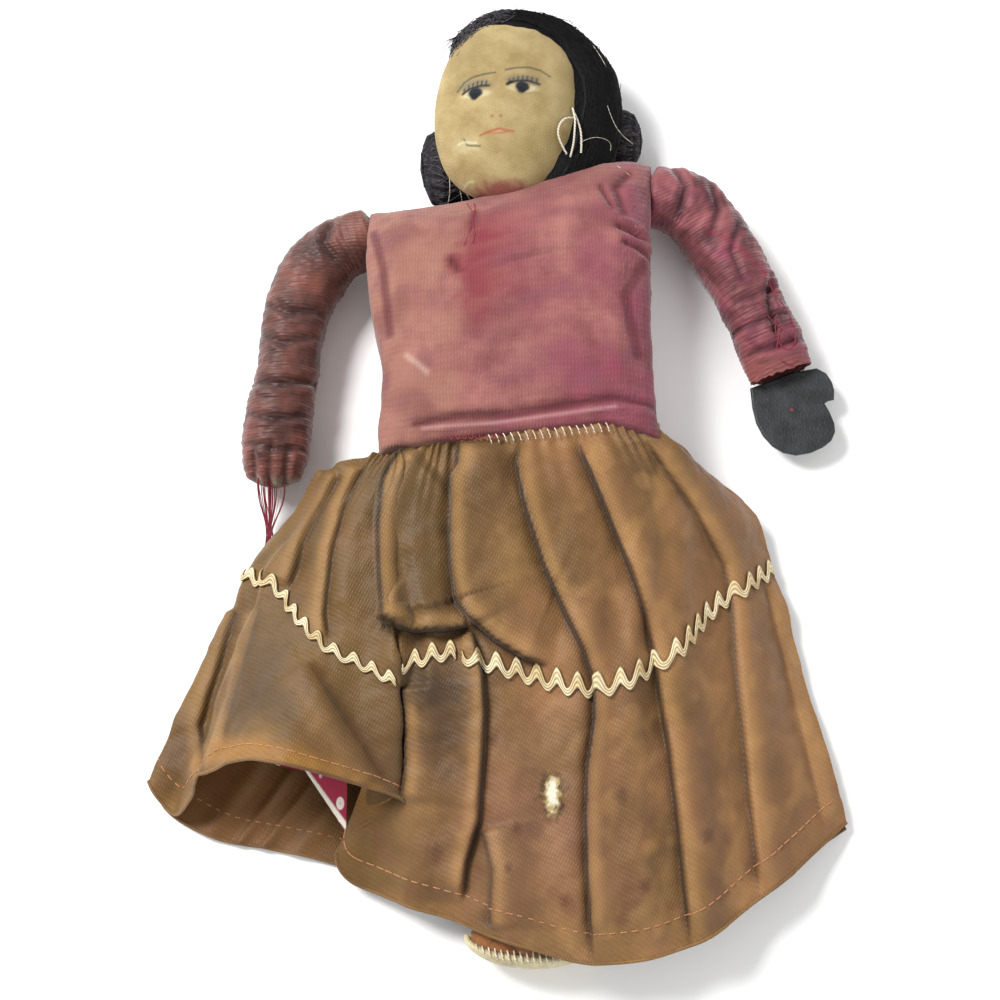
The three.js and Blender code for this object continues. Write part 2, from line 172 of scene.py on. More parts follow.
def points_of(piece):
    """A piece's points in millimetres."""
    flat = np.zeros(len(piece.data.vertices) * 3)
    piece.data.vertices.foreach_get("co", flat)
    return flat.reshape(-1, 3) / MM


def normals_of(piece):
    flat = np.zeros(len(piece.data.vertices) * 3)
    piece.data.vertex_normals.foreach_get("vector", flat)
    return flat.reshape(-1, 3)


def move(piece, points):
    piece.data.vertices.foreach_set("co", (points * MM).ravel())
    piece.data.update()


def blur(points, size, seed=0, octaves=2):
    """Soft random blotches from about -1 to 1, of a size in millimetres."""
    scaled = (points / size + seed * 7.31).tolist()
    return np.array([noise.fractal(p, 0.6, 2.0, octaves, noise_basis="PERLIN_ORIGINAL") for p in scaled])


def ease(low, high, value):
    t = np.clip((value - low) / (high - low), 0, 1)
    return t * t * (3 - 2 * t)


def unit(vectors, least=1e-6):
    return vectors / np.maximum(np.linalg.norm(vectors, axis=1), least)[:, None]


def lengths_along(run):
    """How far each point of a run is from its start, along it."""
    return np.concatenate([[0], np.cumsum(np.linalg.norm(np.diff(run, axis=0), axis=1))])


def near_line(points, line):
    """How far points are from a line drawn from above, which side they are on, and how far along."""
    line = np.array(line, float)[:, :2]
    starts, ends = line[:-1], line[1:]
    lengths = np.linalg.norm(ends - starts, axis=1)
    run = np.concatenate([[0], np.cumsum(lengths)])
    best = np.full(len(points), 1e9)
    side = np.ones(len(points))
    along = np.zeros(len(points))
    for i, (a, b) in enumerate(zip(starts, ends)):
        step = (b - a) / max(lengths[i], 1e-9)
        offset = points[:, :2] - a
        t = np.clip(offset @ step, 0, lengths[i])
        distance = np.linalg.norm(offset - t[:, None] * step, axis=1)
        turn = np.sign(step[0] * offset[:, 1] - step[1] * offset[:, 0])
        closer = distance < best
        best = np.where(closer, distance, best)
        side = np.where(closer, turn, side)
        along = np.where(closer, (run[i] + t) / run[-1], along)
    return best, side, along


class DyeAndShade:
    """Paint, stains, worn places and painted light and shade on a piece: a colour and how much it covers,
    at every point.
    """

    def __init__(self, piece):
        self.piece = piece
        self.points = points_of(piece)
        self.normals = normals_of(piece)
        self.colour = np.zeros((len(self.points), 3))
        self.cover = np.zeros(len(self.points))

    def lay(self, colour, mask):
        mask = np.clip(mask, 0, 1)
        total = self.cover + mask * (1 - self.cover)
        share = (mask / np.maximum(total, 1e-6))[:, None]
        self.colour = self.colour * (1 - share) + np.array(linear(colour)[:3]) * share
        self.cover = total

    def line(self, colour, line, width, strength=1.0, soft=0.25):
        distance, _, _ = near_line(self.points, line)
        mask = strength * (1 - ease(width / 2 - soft, width / 2 + soft, distance))
        self.lay(colour, mask * (self.normals[:, 2] > 0.05))

    def spot(self, colour, centre, half, strength=1.0, edge=0.3, ragged=0.0):
        offset = (self.points[:, :2] - np.array(centre)) / np.array(half)
        reach = np.linalg.norm(offset, axis=1)
        if ragged:
            reach = reach + ragged * blur(self.points, min(half) * 0.8, 3)
        self.lay(colour, strength * (1 - ease(1 - edge, 1 + edge, reach)) * (self.normals[:, 2] > 0.05))

    def fix(self):
        paint = self.piece.data.attributes.new("dye_and_shade", "FLOAT_COLOR", "POINT")
        values = np.column_stack([self.colour, self.cover]).astype(np.float32)
        paint.data.foreach_set("color", values.ravel())


def turned(points, angle, centre):
    c, s = math.cos(angle), math.sin(angle)
    x, y = points[:, 0] - centre[0], points[:, 1] - centre[1]
    return np.column_stack([centre[0] + x * c - y * s, centre[1] + x * s + y * c, points[:, 2]])


def ball_direction(u, v):
    """A direction from u round and v from pole to pole; the poles are at the crown and the chin."""
    around, down = u * 2 * math.pi, v * math.pi
    ring = np.sin(down)
    return np.column_stack([-np.sin(around) * ring, np.cos(down), -np.cos(around) * ring])


def egg(direction, margin):
    """The head's skin in a direction, squarer than an ellipse seen from above and narrower at the chin."""
    ring = np.maximum(np.linalg.norm(direction[:, :2], axis=1), 1e-6)
    corner = (np.abs(direction[:, 0] / ring) ** 2.4 + np.abs(direction[:, 1] / ring) ** 2.4) ** (-1 / 2.4)
    swollen = direction * (HEAD_HALF + margin)
    swollen[:, :2] *= (1 + (corner - 1) * ring ** 2)[:, None]
    swollen[:, 0] *= 1 - 0.09 * np.maximum(0, -direction[:, 1]) ** 1.5
    return turned(swollen + HEAD_CENTRE, HEAD_TILT, HEAD_CENTRE)


def two_tones(tree, place, size, dark, light, low=0.0, high=1.0, detail=2.0, roughness=0.5):
    """Patches of two colours, of a size in millimetres; low and high set how sharply they part."""
    patches = add(
        tree, "TexNoise",
        {"Vector": place, "Scale": 1 / (size * MM), "Detail": detail, "Roughness": roughness},
    )
    spread = add(tree, "MapRange", {"Value": patches, "From Min": low, "From Max": high})
    return add(tree, "Mix", {"Factor": spread, 6: dark, 7: light}, data_type="RGBA")


def woven(name, light, dark, threads, mottle, roughness, sheen=0.0, depth=0.0002, contrast=0.25, deep=0.7):
    """A cloth whose mottled tones mix with the paint, stains and painted light and shade laid on its
    piece. threads is a list of (turn in degrees, pitch in mm, waver) for each set of threads or ribs
    that shows; mottle is the size of its worn patches in mm; deep darkens its colour."""
    material, tree, place = finish_of(name)
    cloth = two_tones(tree, place, mottle, dark, light, 0.34, 0.66, 5.0, 0.65)
    dye_and_shade = add(tree, "Attribute", attribute_name="dye_and_shade")
    dyed_and_shaded = add(
        tree, "Mix", {"Factor": dye_and_shade.outputs["Alpha"], 6: cloth, 7: dye_and_shade.outputs["Color"]}, data_type="RGBA",
    )
    ribs = []
    for turn, pitch, waver in threads:
        laid = add(tree, "Mapping", {"Vector": place, "Rotation": (0, 0, math.radians(turn))})
        # one wave of the texture is pi / 10 long at scale 1
        wave = add(tree, "TexWave", {
            "Vector": laid, "Scale": math.pi / 10 / (pitch * MM), "Distortion": waver,
            "Detail": 3.0, "Detail Scale": 0.35, "Detail Roughness": 0.7,
        })
        ribs.append(wave.outputs["Fac"])
    height = ribs[0] if len(ribs) == 1 else add(
        tree, "Math", {0: ribs[0], 1: ribs[1]}, operation="MULTIPLY",
    )
    fuzz = add(tree, "TexNoise", {"Vector": place, "Scale": 1 / (0.9 * MM), "Detail": 3.0})
    height = add(tree, "Math", {0: fuzz, 1: 0.6, 2: height}, operation="MULTIPLY_ADD").outputs[0]
    shade = add(
        tree, "MapRange",
        {
            "Value": height, "From Max": 1.4, "To Min": deep * (1 - contrast),
            "To Max": deep * (1 + contrast * 0.7),
        },
    )
    colour = add(tree, "Mix", {"Factor": 1.0, 6: dyed_and_shaded, 7: shade}, data_type="RGBA", blend_type="MULTIPLY")
    bump = add(tree, "Bump", {"Height": height, "Distance": depth, "Strength": 0.8})
    add(
        tree, "OutputMaterial",
        {
            "Surface": add(
                tree, "BsdfPrincipled",
                {
                    "Base Color": colour, "Roughness": roughness, "Normal": bump, "Sheen Weight": sheen,
                    "Sheen Roughness": 0.45, "Specular IOR Level": 0.3,
                },
            )
        },
    )
    return material


def fit(piece, body, slot, *solids, fill=None):
    """Puts a piece on its moving body in place of the plain solids named; the slot is not used."""
    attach(piece, body)
    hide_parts(*solids)


# Plain-weave cotton, 0.55 mm between threads as drawn (the real ones are about half that).
face_muslin = woven(
    "face_muslin", "#c3ad7c", "#a28a58", [(38, 0.55, 0.6), (-52, 0.6, 0.6)], 9.0, 0.85, 0.05, 0.00009, 0.1,
    0.73,
)
head = sheet_mesh("muslin_head", 300, 230, lambda u, v: egg(ball_direction(u, v), 0.0), face_muslin)
skin = points_of(head)
sewn = np.exp(-((skin[:, 2] - HEAD_CENTRE[2] + 3) / 1.1) ** 2)
move(head, skin + normals_of(head) * (0.16 * blur(skin, 9, 1) - 0.35 * sewn)[:, None])

face = DyeAndShade(head)
face.lay("#9a8653", 0.4 * ease(-0.1, 0.7, blur(face.points, 15, 2)))
face.lay("#c4b07f", 0.4 * ease(0.0, 0.8, blur(face.points, 11, 5)))
face.spot("#7d6a3c", (-9, 112), (6, 9), 0.35, 0.8, 0.3)
face.spot("#94804c", (14, 84), (8, 7), 0.45, 0.9, 0.3)
for brow in (
    [(-11.6, 100.6), (-9.7, 103.1), (-7.4, 104.2), (-4.4, 104.7), (-1.2, 105)],
    [(1.5, 105.7), (4.5, 106.4), (8, 106.7), (11, 106.1), (13.7, 104.6)],
):
    face.line("#3b3f42", brow, 0.55, 0.8)
for lid, lashes, pupil in (
    ([(-10.2, 99.4), (-8.4, 100.6), (-5.5, 101.1), (-3, 101)], 6, (-6.7, 99.2)),
    ([(2, 101.3), (4.2, 102.2), (7.4, 102.5), (10.8, 101.7)], 7, (6.1, 100.6)),
):
    left, right = np.array(lid[0]), np.array(lid[-1])
    middle = (left + right) / 2
    face.spot("#6d6c60", (middle[0], middle[1] + 1.4), (4.6, 1.5), 0.6, 0.6)
    face.spot("#d6c99e", (middle[0], pupil[1] - 0.4), (4.1, 1.15), 0.85, 0.3)
    face.line("#23262b", lid, 0.7, 0.95)
    for i in range(lashes):
        foot = left + (right - left) * (i + 0.3) / lashes
        bow = 0.9 * math.sin(math.pi * (i + 0.3) / lashes)
        face.line(
            "#2b2f34", [(foot[0], foot[1] + bow), (foot[0] + 0.15, foot[1] + bow + 1.4)], 0.45, 0.95, 0.2,
        )
    face.spot("#1f252e", pupil, (2.0, 1.5), 1.0, 0.2)
    face.spot("#16181d", (pupil[0] - 0.3, pupil[1] - 1.0), (1.1, 1.1), 1.0, 0.25)
face.line("#16181d", [(2, 101.2), (3, 101.9)], 0.9)
face.line("#8b8066", [(3.2, 100.6), (4.8, 99.0), (7, 98.6), (9.4, 99.4), (10.7, 101.2)], 0.28, 0.6)
for nostril in (-2.2, 0.2):
    face.spot("#9c6048", (nostril, 92.1), (0.55, 0.45), 0.7, 0.4)
face.line(
    "#b0503a", [(-5.4, 87.0), (-2.6, 88.0), (-0.6, 88.5), (0.3, 88.6), (1.3, 88.1), (3.6, 87.8)], 0.6, 0.8,
)
face.line("#c0573a", [(-3.4, 87.5), (-1.2, 87.4), (1.6, 87.5)], 0.5, 0.6)
face.spot("#d0c496", (-9.3, 84.6), (2.8, 1.7), 0.6, 0.5, 0.5)
face.line("#3a3328", [(-9.8, 86.6), (-8.9, 84.9), (-7.6, 84.6), (-5.4, 84.2)], 0.45, 0.9)
face.line("#e3dab8", [(-11.4, 85.5), (-9.8, 85.9), (-8.4, 85.4), (-6.4, 85.2)], 0.5, 0.8)
face.line("#d6cca6", [(-10.2, 75.3), (-8.6, 76.2), (-7.2, 76)], 0.45, 0.7)
face.spot("#8c2540", (0.5, 73.2), (8, 2.6), 0.75, 0.6, 0.4)
face.fix()
fit(head, "head", "muslin", "head_cover", "head_stuffing", fill=0.85)

# ---- Neck ----
# A short stuffed stalk of the same muslin that the head nods and leans on, inside the collar.

neck_muslin = woven(
    "neck_muslin", "#b8a071", "#957b4b", [(0, 0.55, 0.4), (90, 0.6, 0.4)], 8.0, 0.85, 0.1, 0.00012, 0.12,
)
NECK = np.array([0, 76, 14.5])
neck = sheet_mesh("neck_stalk", 48, 24, lambda u, v: NECK + ball_direction(u, v) * 5.4, neck_muslin)
DyeAndShade(neck).fix()
fit(neck, "neck", "muslin", "neck_plug", fill=0.8)

# ---- Hair ----
# Black sewing and wool strands laid over the crown from one temple round to the other side, drawn
# back and bound with string into a bun behind the nape, whose two ends show past the cheeks.


def strand_finish(name, dark, light):
    """Thread hair: fine ridges that catch a soft light."""
    material, tree, place = finish_of(name)
    # ridges about 0.4 mm apart
    ridges = add(tree, "TexNoise", {"Vector": place, "Scale": 900.0, "Detail": 4.0, "Roughness": 0.7})
    tone = add(tree, "MapRange", {"Value": ridges, "From Min": 0.35, "From Max": 0.75})
    colour = add(tree, "Mix", {"Factor": tone, 6: dark, 7: light}, data_type="RGBA")
    bump = add(tree, "Bump", {"Height": ridges, "Distance": 0.0004, "Strength": 0.7})
    add(
        tree, "OutputMaterial",
        {
            "Surface": add(
                tree, "BsdfPrincipled",
                {"Base Color": colour, "Roughness": 0.5, "Normal": bump, "Specular IOR Level": 0.12},
            )
        },
    )
    return material


def shaped(piece):
    """A new mesh of a piece as its modifiers or its thickness leave it."""
    return bpy.data.meshes.new_from_object(piece.evaluated_get(bpy.context.evaluated_depsgraph_get()))


def threads(name, runs, radius, finish, body, slot, sides=2):
    """Threads laid along runs of points in millimetres, as one piece."""
    curve = bpy.data.curves.new(name, "CURVE")
    curve.dimensions = "3D"
    curve.bevel_depth = radius * MM
    curve.bevel_resolution = sides - 1
    curve.resolution_u = 3
    curve.use_fill_caps = True
    for run in runs:
        spline = curve.splines.new("NURBS")
        spline.points.add(len(run) - 1)
        for point, place in zip(spline.points, run):
            point.co = (*(np.array(place) * MM), 1)
        spline.order_u = 3
        spline.use_endpoint_u = True
    shell = put(name + "_line", curve)
    bpy.context.view_layer.update()
    mesh = shaped(shell)
    bpy.data.objects.remove(shell)
    mesh.name = name
    piece = put(name, mesh)
    mesh.materials.clear()
    mesh.materials.append(finish)
    for polygon in mesh.polygons:
        polygon.use_smooth = True
    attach(piece, body)
    return piece


black_thread = strand_finish("black_hair_thread", "#020203", "#0c0c0f")
grey_thread = strand_finish("dusty_hair_thread", "#1f1e20", "#6a666a")
# how far the hair stands out past the head, by the angle round it: 0 at the doll's left, 90 at the crown
STAND_OUT = [
    (-180, 0.4), (-130, 1.6), (-90, 2.0), (-50, 7.0), (-25, 11.5), (0, 11.6), (20, 10.2), (45, 5.4),
    (70, 3.4), (100, 3.2), (125, 2.4), (140, 2.6), (155, 0.8), (180, 0.4),
]
# the height of the hairline on the face, as a share of the head's half depth
HAIRLINE = [
    (-180, -0.35), (-100, -0.3), (-60, 0.1), (-30, 0.34), (0, 0.36), (30, 0.42), (60, 0.52), (90, 0.56),
    (115, 0.44), (140, 0.2), (155, -0.25), (180, -0.35),
]


def hair_surface(direction, lift=0.0):
    angle = np.degrees(np.arctan2(direction[:, 1] * 0.9, direction[:, 0]))
    out = np.interp(angle, *np.array(STAND_OUT).T)
    line = np.interp(angle, *np.array(HAIRLINE).T)
    line = line + 0.012 * np.sin(angle * 0.13) + 0.008 * np.sin(angle * 0.41)
    full = 1 - 0.75 * ease(0.0, 1.0, np.abs(direction[:, 2] + 0.1)) * (direction[:, 2] < 0)
    crown = np.sqrt(np.clip((line + 0.05 - direction[:, 2]) / 0.5, 0, 1))
    margin = -0.8 + (0.9 + out * full) * crown
    flat = egg(direction, 0.0)
    place = flat + unit(direction * [1, 1, 0.35]) * (margin + lift)[:, None]
    place[:, 2] = np.maximum(place[:, 2], 3.4)
    return place


def strand_place(angle, level, lift):
    ring = math.sqrt(max(0.02, 1 - level * level))
    return hair_surface(np.array([[math.cos(angle) * ring, math.sin(angle) * ring, level]]), lift)[0]


cap = sheet_mesh("hair_cap", 240, 190, lambda u, v: hair_surface(ball_direction(u, v)), black_thread)
fit(cap, "head", "hair", "hair_crown", "hair_side_left")

random.seed(SEED)
laid_strands, loose_strands, grey_strands = [], [], []
LAID_STRANDS, DUSTY_STRANDS, LOOSE_STRANDS = 1150, 230, 170
for i in range(LAID_STRANDS):
    height = 0.45 - 1.2 * random.random() ** 1.7
    start, stop = random.uniform(60, 146), random.uniform(-55, 20)
    drift = random.uniform(-0.25, 0.1)
    run = []
    for step in range(14):
        t = step / 13
        angle = math.radians(start + (stop - start) * t)
        level = height + drift * t + 0.03 * math.sin(5 * t + i)
        line = np.interp(math.degrees(angle), *np.array(HAIRLINE).T)
        level = min(level, line + 0.02)
        run.append(strand_place(angle, level, random.uniform(0.0, 0.25) + 0.18))
    laid_strands.append(run)


def strand_over(start, stop, level, lift_at, count):
    """A strand over the head from one angle to another at one level, lifted off it by lift_at(0 to 1)."""
    steps = [step / (count - 1) for step in range(count)]
    return [strand_place(math.radians(start + (stop - start) * t), level, lift_at(t)) for t in steps]


for i in range(DUSTY_STRANDS):
    start = random.uniform(92, 136)
    rise, crimp = random.uniform(0.2, 1.0), random.uniform(0, 6)
    grey_strands.append(strand_over(
        start, min(start + random.uniform(8, 26), 153), random.uniform(-0.3, 0.5),
        lambda t: 0.2 + rise * t + 0.35 * math.sin(11 * t + crimp), 9,
    ))
for i in range(LOOSE_STRANDS):
    start, rise = random.uniform(8, 100), random.uniform(0.2, 1.5)
    swing = random.choice([-1, 1]) * random.uniform(6, 20)
    loose_strands.append(
        strand_over(start, start + swing, random.uniform(-0.35, 0.45), lambda t: 0.2 + rise * t * t, 7)
    )
for i in range(22):
    run = strand_over(
        random.uniform(112, 122), random.uniform(133, 141), random.uniform(-0.1, 0.42), lambda t: 0.3, 5,
    )
    way = run[-1] - run[-2]
    spread = np.array([random.uniform(-2.0, -0.4), random.uniform(-0.8, 1.0), -0.5])
    loose_strands.append(run + [run[-1] + way * 0.8 + spread * 0.3, run[-1] + way * 1.5 + spread])
threads("laid_hair", laid_strands, 0.14, black_thread, "head", "hair")
threads("dusty_hair_ends", grey_strands, 0.1, grey_thread, "head", "hair")
threads("loose_hair_ends", loose_strands, 0.07, black_thread, "head", "hair")

BUN = np.array([[-22.5, 86.5, 8.5], [-7, 88, 5.6], [9, 92, 4.3], [25, 95.5, 5.4], [40.4, 95.4, 8.4]])
BUN_WIDTH = [9, 12, 10.5, 6.5, 4.2, 4, 4.2, 6.5, 8.6, 9.6, 7]
BUN_HEIGHT = [2, 6, 5.2, 3.4, 2.4, 2.2, 2.4, 3.6, 5.4, 5.8, 2]


def smooth_between(a, b, c, d, f):
    """A place on the smooth line through four points, a share f of the way from b to c."""
    return 0.5 * (
        2 * b + (c - a) * f + (2 * a - 5 * b + 4 * c - d) * f ** 2 + (3 * b - a - 3 * c + d) * f ** 3
    )


def smooth_path(points, t):
    """Points along a smooth line through the given points, for t from 0 to 1."""
    points = np.array(points, float)
    full = np.vstack([2 * points[0] - points[1], points, 2 * points[-1] - points[-2]])
    place = np.clip(t, 0, 1) * (len(points) - 1)
    i = np.minimum(place.astype(int), len(points) - 2)
    f = (place - i)[:, None]
    return smooth_between(full[i], full[i + 1], full[i + 2], full[i + 3], f)


def profile(stops, t):
    return np.interp(np.clip(t, 0, 1) * (len(stops) - 1), range(len(stops)), stops)


def squared(value, power):
    """A sine or cosine flattened toward a square wave; the smaller the power, the squarer."""
    return np.sign(value) * np.abs(value) ** power


def tube(path, width, height, u, v, square=1.0):
    """A flattened tube along a path that lies near the table; u goes round it and v along it."""
    centre = smooth_path(path, v)
    ahead = smooth_path(path, np.minimum(v + 0.01, 1)) - smooth_path(path, np.maximum(v - 0.01, 0))
    side = unit(np.column_stack([ahead[:, 1], -ahead[:, 0], 0 * v]), 1e-9)
    angle = u * 2 * math.pi
    across, up = squared(np.cos(angle), square), squared(np.sin(angle), square)
    return centre + side * (across * width)[:, None] + np.outer(up * height, [0, 0, 1])


def bun_point(u, v, lift=0.0):
    closed = np.sqrt(np.clip(np.minimum(v, 1 - v) / 0.04, 0, 1))
    ridges = 0.25 * np.sin(u * 2 * math.pi * 19 + 5 * np.sin(v * 6))
    width, height = profile(BUN_WIDTH, v) * closed, profile(BUN_HEIGHT, v) * closed
    place = tube(BUN, width, height, u, v)
    place = place + unit(place - smooth_path(BUN, v)) * (ridges * closed + lift)[:, None]
    place[:, 2] = np.maximum(place[:, 2], 0.3)
    return place


bun_finish = strand_finish("bun_thread", "#08080a", "#2c2a2f")
bun = sheet_mesh("hair_bun_hank", 120, 120, bun_point, bun_finish)
fit(bun, "head", "hair", "hair_bun")
bun_runs = []
for i in range(210):
    round_it = random.random()
    first, last = random.choice([(0.01, 0.46), (0.54, 0.99)])
    v = np.linspace(first, last, 9)
    bun_runs.append(bun_point(np.full(9, round_it) + 0.03 * np.sin(v * 9 + i), v, 0.16))
threads("bun_strands", bun_runs, 0.13, black_thread, "head", "hair")
grey_runs = []
for i in range(110):
    end = random.random() < 0.3
    v = np.linspace(0.02, 0.3, 8) if end else np.linspace(0.7, 0.985, 8)
    round_it = random.uniform(0.05, 0.45)
    grey_runs.append(bun_point(np.full(8, round_it) + 0.05 * np.sin(v * 14 + i), v, 0.3))
threads("bun_dusty_strands", grey_runs, 0.1, grey_thread, "head", "hair")

string_finish, tree, place = finish_of("twisted_cotton_string")
twist = add(
    tree, "TexWave", {"Vector": place, "Scale": math.pi / 10 / (0.5 * MM), "Distortion": 1.0},
    bands_direction="DIAGONAL",
)
colour = add(tree, "Mix", {"Factor": twist.outputs["Fac"], 6: "#a89e88", 7: "#e6e0d0"}, data_type="RGBA")
bump = add(tree, "Bump", {"Height": twist.outputs["Fac"], "Distance": 0.0001})
add(
    tree, "OutputMaterial",
    {"Surface": add(tree, "BsdfPrincipled", {"Base Color": colour, "Roughness": 0.85, "Normal": bump})},
)
u = np.linspace(0, 1, 25)
tie_runs = [bun_point(u, 0.49 + 0.012 * turn + 0.01 * u, 0.3) for turn in range(3)]
tie = threads("bun_string_tie", tie_runs, 0.34, string_finish, "head", "string")
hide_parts("bun_tie")
# thin pale threads caught round the bun's end beside the cheek
u = np.linspace(0.03, 0.47, 12)
pale_runs = [bun_point(u, 0.1 + 0.045 * i + 0.03 * np.sin(u * 9 + i), 0.45) for i in range(5)]
threads("bun_pale_threads", pale_runs, 0.12, string_finish, "head", "string")

# ---- Ear-ring threads ----
# A pale thread looped through the cheek seam where an ear would be, with its ends curling out.

loops = [
    [
        (20.1, 93.9, 26), (18.2, 93.4, 27.4), (16.5, 91.6, 28.2), (15.6, 88.9, 28), (16.4, 86, 27),
        (18.2, 83.6, 25),
    ],
    [(19.9, 97, 25.6), (20.6, 94, 26.6), (20.4, 90, 26.8), (20.1, 85.9, 25.4), (19.2, 83.2, 24)],
    [(20.4, 95.6, 25.6), (21.8, 92, 25.8), (22.4, 88, 25), (22.2, 84.6, 23.6)],
]
earring = threads("ear_loops", loops, 0.27, string_finish, "head", "string", 3)
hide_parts("earring_loop")
pale_hairs = [
    [(29.7, 99.3, 22.5), (31.2, 94.9, 21), (34.2, 91.8, 18.5), (37, 90.6, 16.5)],
    [(21.7, 86, 27), (24.7, 88, 26.4), (28.3, 88.6, 24.6), (30.9, 88.2, 22), (30.4, 86.4, 21)],
    [(26, 118, 22), (29.5, 113, 21.4), (31.4, 107.5, 20.6)],
]
threads("pale_hairs_on_black", pale_hairs, 0.07, string_finish, "head", "string")

# ---- Blouse ----
# A pillow of faded rose velveteen, flat in front with rolled sides, sewn over the stuffed trunk. Its
# nap is worn into uneven ribs, it is stained magenta at the side and creased along its hem.

BLOUSE_LEFT = [(-31.8, -3.2), (-32.6, 5), (-32.8, 23), (-36.3, 41), (-37.6, 56), (-37, 70)]
BLOUSE_RIGHT = [(44.4, 0.5), (42.8, 9), (42, 26), (41.6, 44), (42.4, 62), (43.2, 84)]
BLOUSE_TOP = [(-37, 70), (-28, 71), (-14, 73.4), (0, 77), (20, 83.4), (30, 85), (38, 85), (43.2, 84)]
BLOUSE_FOOT = [(-31.8, -3.2), (-20, -2.2), (0, 0.2), (20, 2.6), (32, 3.4), (44.4, 0.5)]
TRUNK_HALF = 15.5


def blouse_point(u, v):
    angle = u * 2 * math.pi + math.pi
    s, depth = squared(np.cos(angle), 0.42), squared(np.sin(angle), 0.36)
    t = (1 - np.cos(v * math.pi)) / 2
    left, right = smooth_path(BLOUSE_LEFT, t), smooth_path(BLOUSE_RIGHT, t)
    top, foot = smooth_path(BLOUSE_TOP, (s + 1) / 2), smooth_path(BLOUSE_FOOT, (s + 1) / 2)
    a, b = ((s + 1) / 2)[:, None], t[:, None]
    corners = [
        np.array(p, float) for p in (BLOUSE_LEFT[0], BLOUSE_RIGHT[0], BLOUSE_LEFT[-1], BLOUSE_RIGHT[-1])
    ]
    flat = left * (1 - a) + right * a + foot * (1 - b) + top * b
    flat -= (corners[0] * (1 - a) + corners[1] * a) * (1 - b) + (corners[2] * (1 - a) + corners[3] * a) * b
    crown = np.clip(1 - t ** 9, 0, 1) ** 0.45 * np.clip(1 - (1 - t) ** 60, 0, 1) ** 0.3
    slope = 1 - 0.22 * ease(0.72, 1.0, t) * (depth > 0)
    z = TRUNK_HALF + depth * TRUNK_HALF * crown * slope
    return np.column_stack([flat, z])


CLOTH_SCALE = 6  # cloth settings suit a cushion, so the small pads are simulated six times as big
STUFFING_PRESSURE, CLOTH_STIFFNESS, SETTLE_STEPS = 4, 8, 20


def stuff(piece, voxel, cap):
    """Swells a sewn bag against its stuffing by cloth simulation on a coarse copy, whose movement,
    kept within a cap in millimetres, is then passed on to the fine mesh."""
    coarse = put("coarse_bag", piece.data.copy())
    coarse.data.transform(Matrix.Scale(CLOTH_SCALE, 4))
    remesh = coarse.modifiers.new("remesh", "REMESH")
    remesh.mode = "VOXEL"
    remesh.voxel_size = voxel * MM * CLOTH_SCALE
    bpy.context.view_layer.update()
    bag = shaped(coarse)
    coarse.modifiers.clear()
    coarse.data = bag
    before = points_of(coarse)
    cloth = coarse.modifiers.new("cloth", "CLOTH")
    cloth.settings.use_pressure = True
    cloth.settings.uniform_pressure_force = STUFFING_PRESSURE
    cloth.settings.tension_stiffness = cloth.settings.compression_stiffness = CLOTH_STIFFNESS
    cloth.settings.effector_weights.gravity = 0
    cloth.collision_settings.use_collision = False
    for step in range(1, SETTLE_STEPS + 1):
        bpy.context.scene.frame_set(step)
    moved = shaped(coarse)
    coarse.modifiers.clear()
    coarse.data = moved
    push = (points_of(coarse) - before) / CLOTH_SCALE
    push *= (cap / np.maximum(np.linalg.norm(push, axis=1), cap))[:, None]
    finder = KDTree(len(before))
    for i, point in enumerate(before / CLOTH_SCALE):
        finder.insert(point, i)
    finder.balance()
    fine = points_of(piece)
    for i, point in enumerate(fine.copy()):
        near = finder.find_n(point, 5)
        share = np.array([1 / (n[2] + 0.3) for n in near])
        fine[i] += (push[[n[1] for n in near]] * (share / share.sum())[:, None]).sum(axis=0)
    bpy.data.objects.remove(coarse)
    bpy.context.scene.frame_set(1)
    fine[:, 2] = np.maximum(fine[:, 2], 0.2)
    move(piece, fine)


velveteen = woven(
    "rose_velveteen", "#b97a70", "#8d4c50", [(0, 0.85, 7.5), (90, 1.7, 9.0)], 14.0, 0.8, 0.25, 0.00014, 0.1,
    0.67,
)
blouse = sheet_mesh("velveteen_blouse", 330, 170, blouse_point, velveteen)
stuff(blouse, 3.0, 1.4)
blouse_creases = [
    # line of the crease, depth, width
    ([(-22, 4.6), (-10, 6.6), (3.5, 7), (14, 9.2), (30, 11.5), (42, 10)], 0.9, 1.1),
    ([(27, 73), (30, 65.5)], 1.3, 0.9),
    ([(31, 60), (38.5, 57)], 1.6, 1.0),
    ([(33, 55.3), (40, 53)], 1.2, 0.9),
    ([(-7, 66), (-9, 54.5)], 0.5, 0.5),
    ([(-13, 50), (-11, 47)], 0.9, 1.6),
    ([(5.5, 57.5), (9, 55.5)], 0.7, 1.4),
    ([(-34, 60), (-31, 48), (-29, 30)], 0.5, 1.6),
    ([(35, 78), (31, 72), (33, 64)], 0.9, 1.5),
    ([(38, 50), (33, 40), (36, 24)], 0.4, 2.0),
]


def crease(piece, creases, crumple=0.3, size=9.0, seed=1):
    """Presses a piece in along creases and lightly crumples it between them."""
    points, normals = points_of(piece), normals_of(piece)
    sink = crumple * blur(points, size, seed) + crumple * 0.3 * blur(points, size / 4, seed + 3)
    for line, depth, width in creases:
        distance, _, along = near_line(points, line)
        ends = ease(0, 0.15, along) * (1 - ease(0.85, 1, along))
        hollow = np.exp(-(distance / width) ** 2) - 0.35 * np.exp(-((distance - 2.2 * width) / width) ** 2)
        sink = sink - depth * hollow * (0.35 + 0.65 * ends) * (normals[:, 2] > 0.1)
    move(piece, points + normals * sink[:, None])


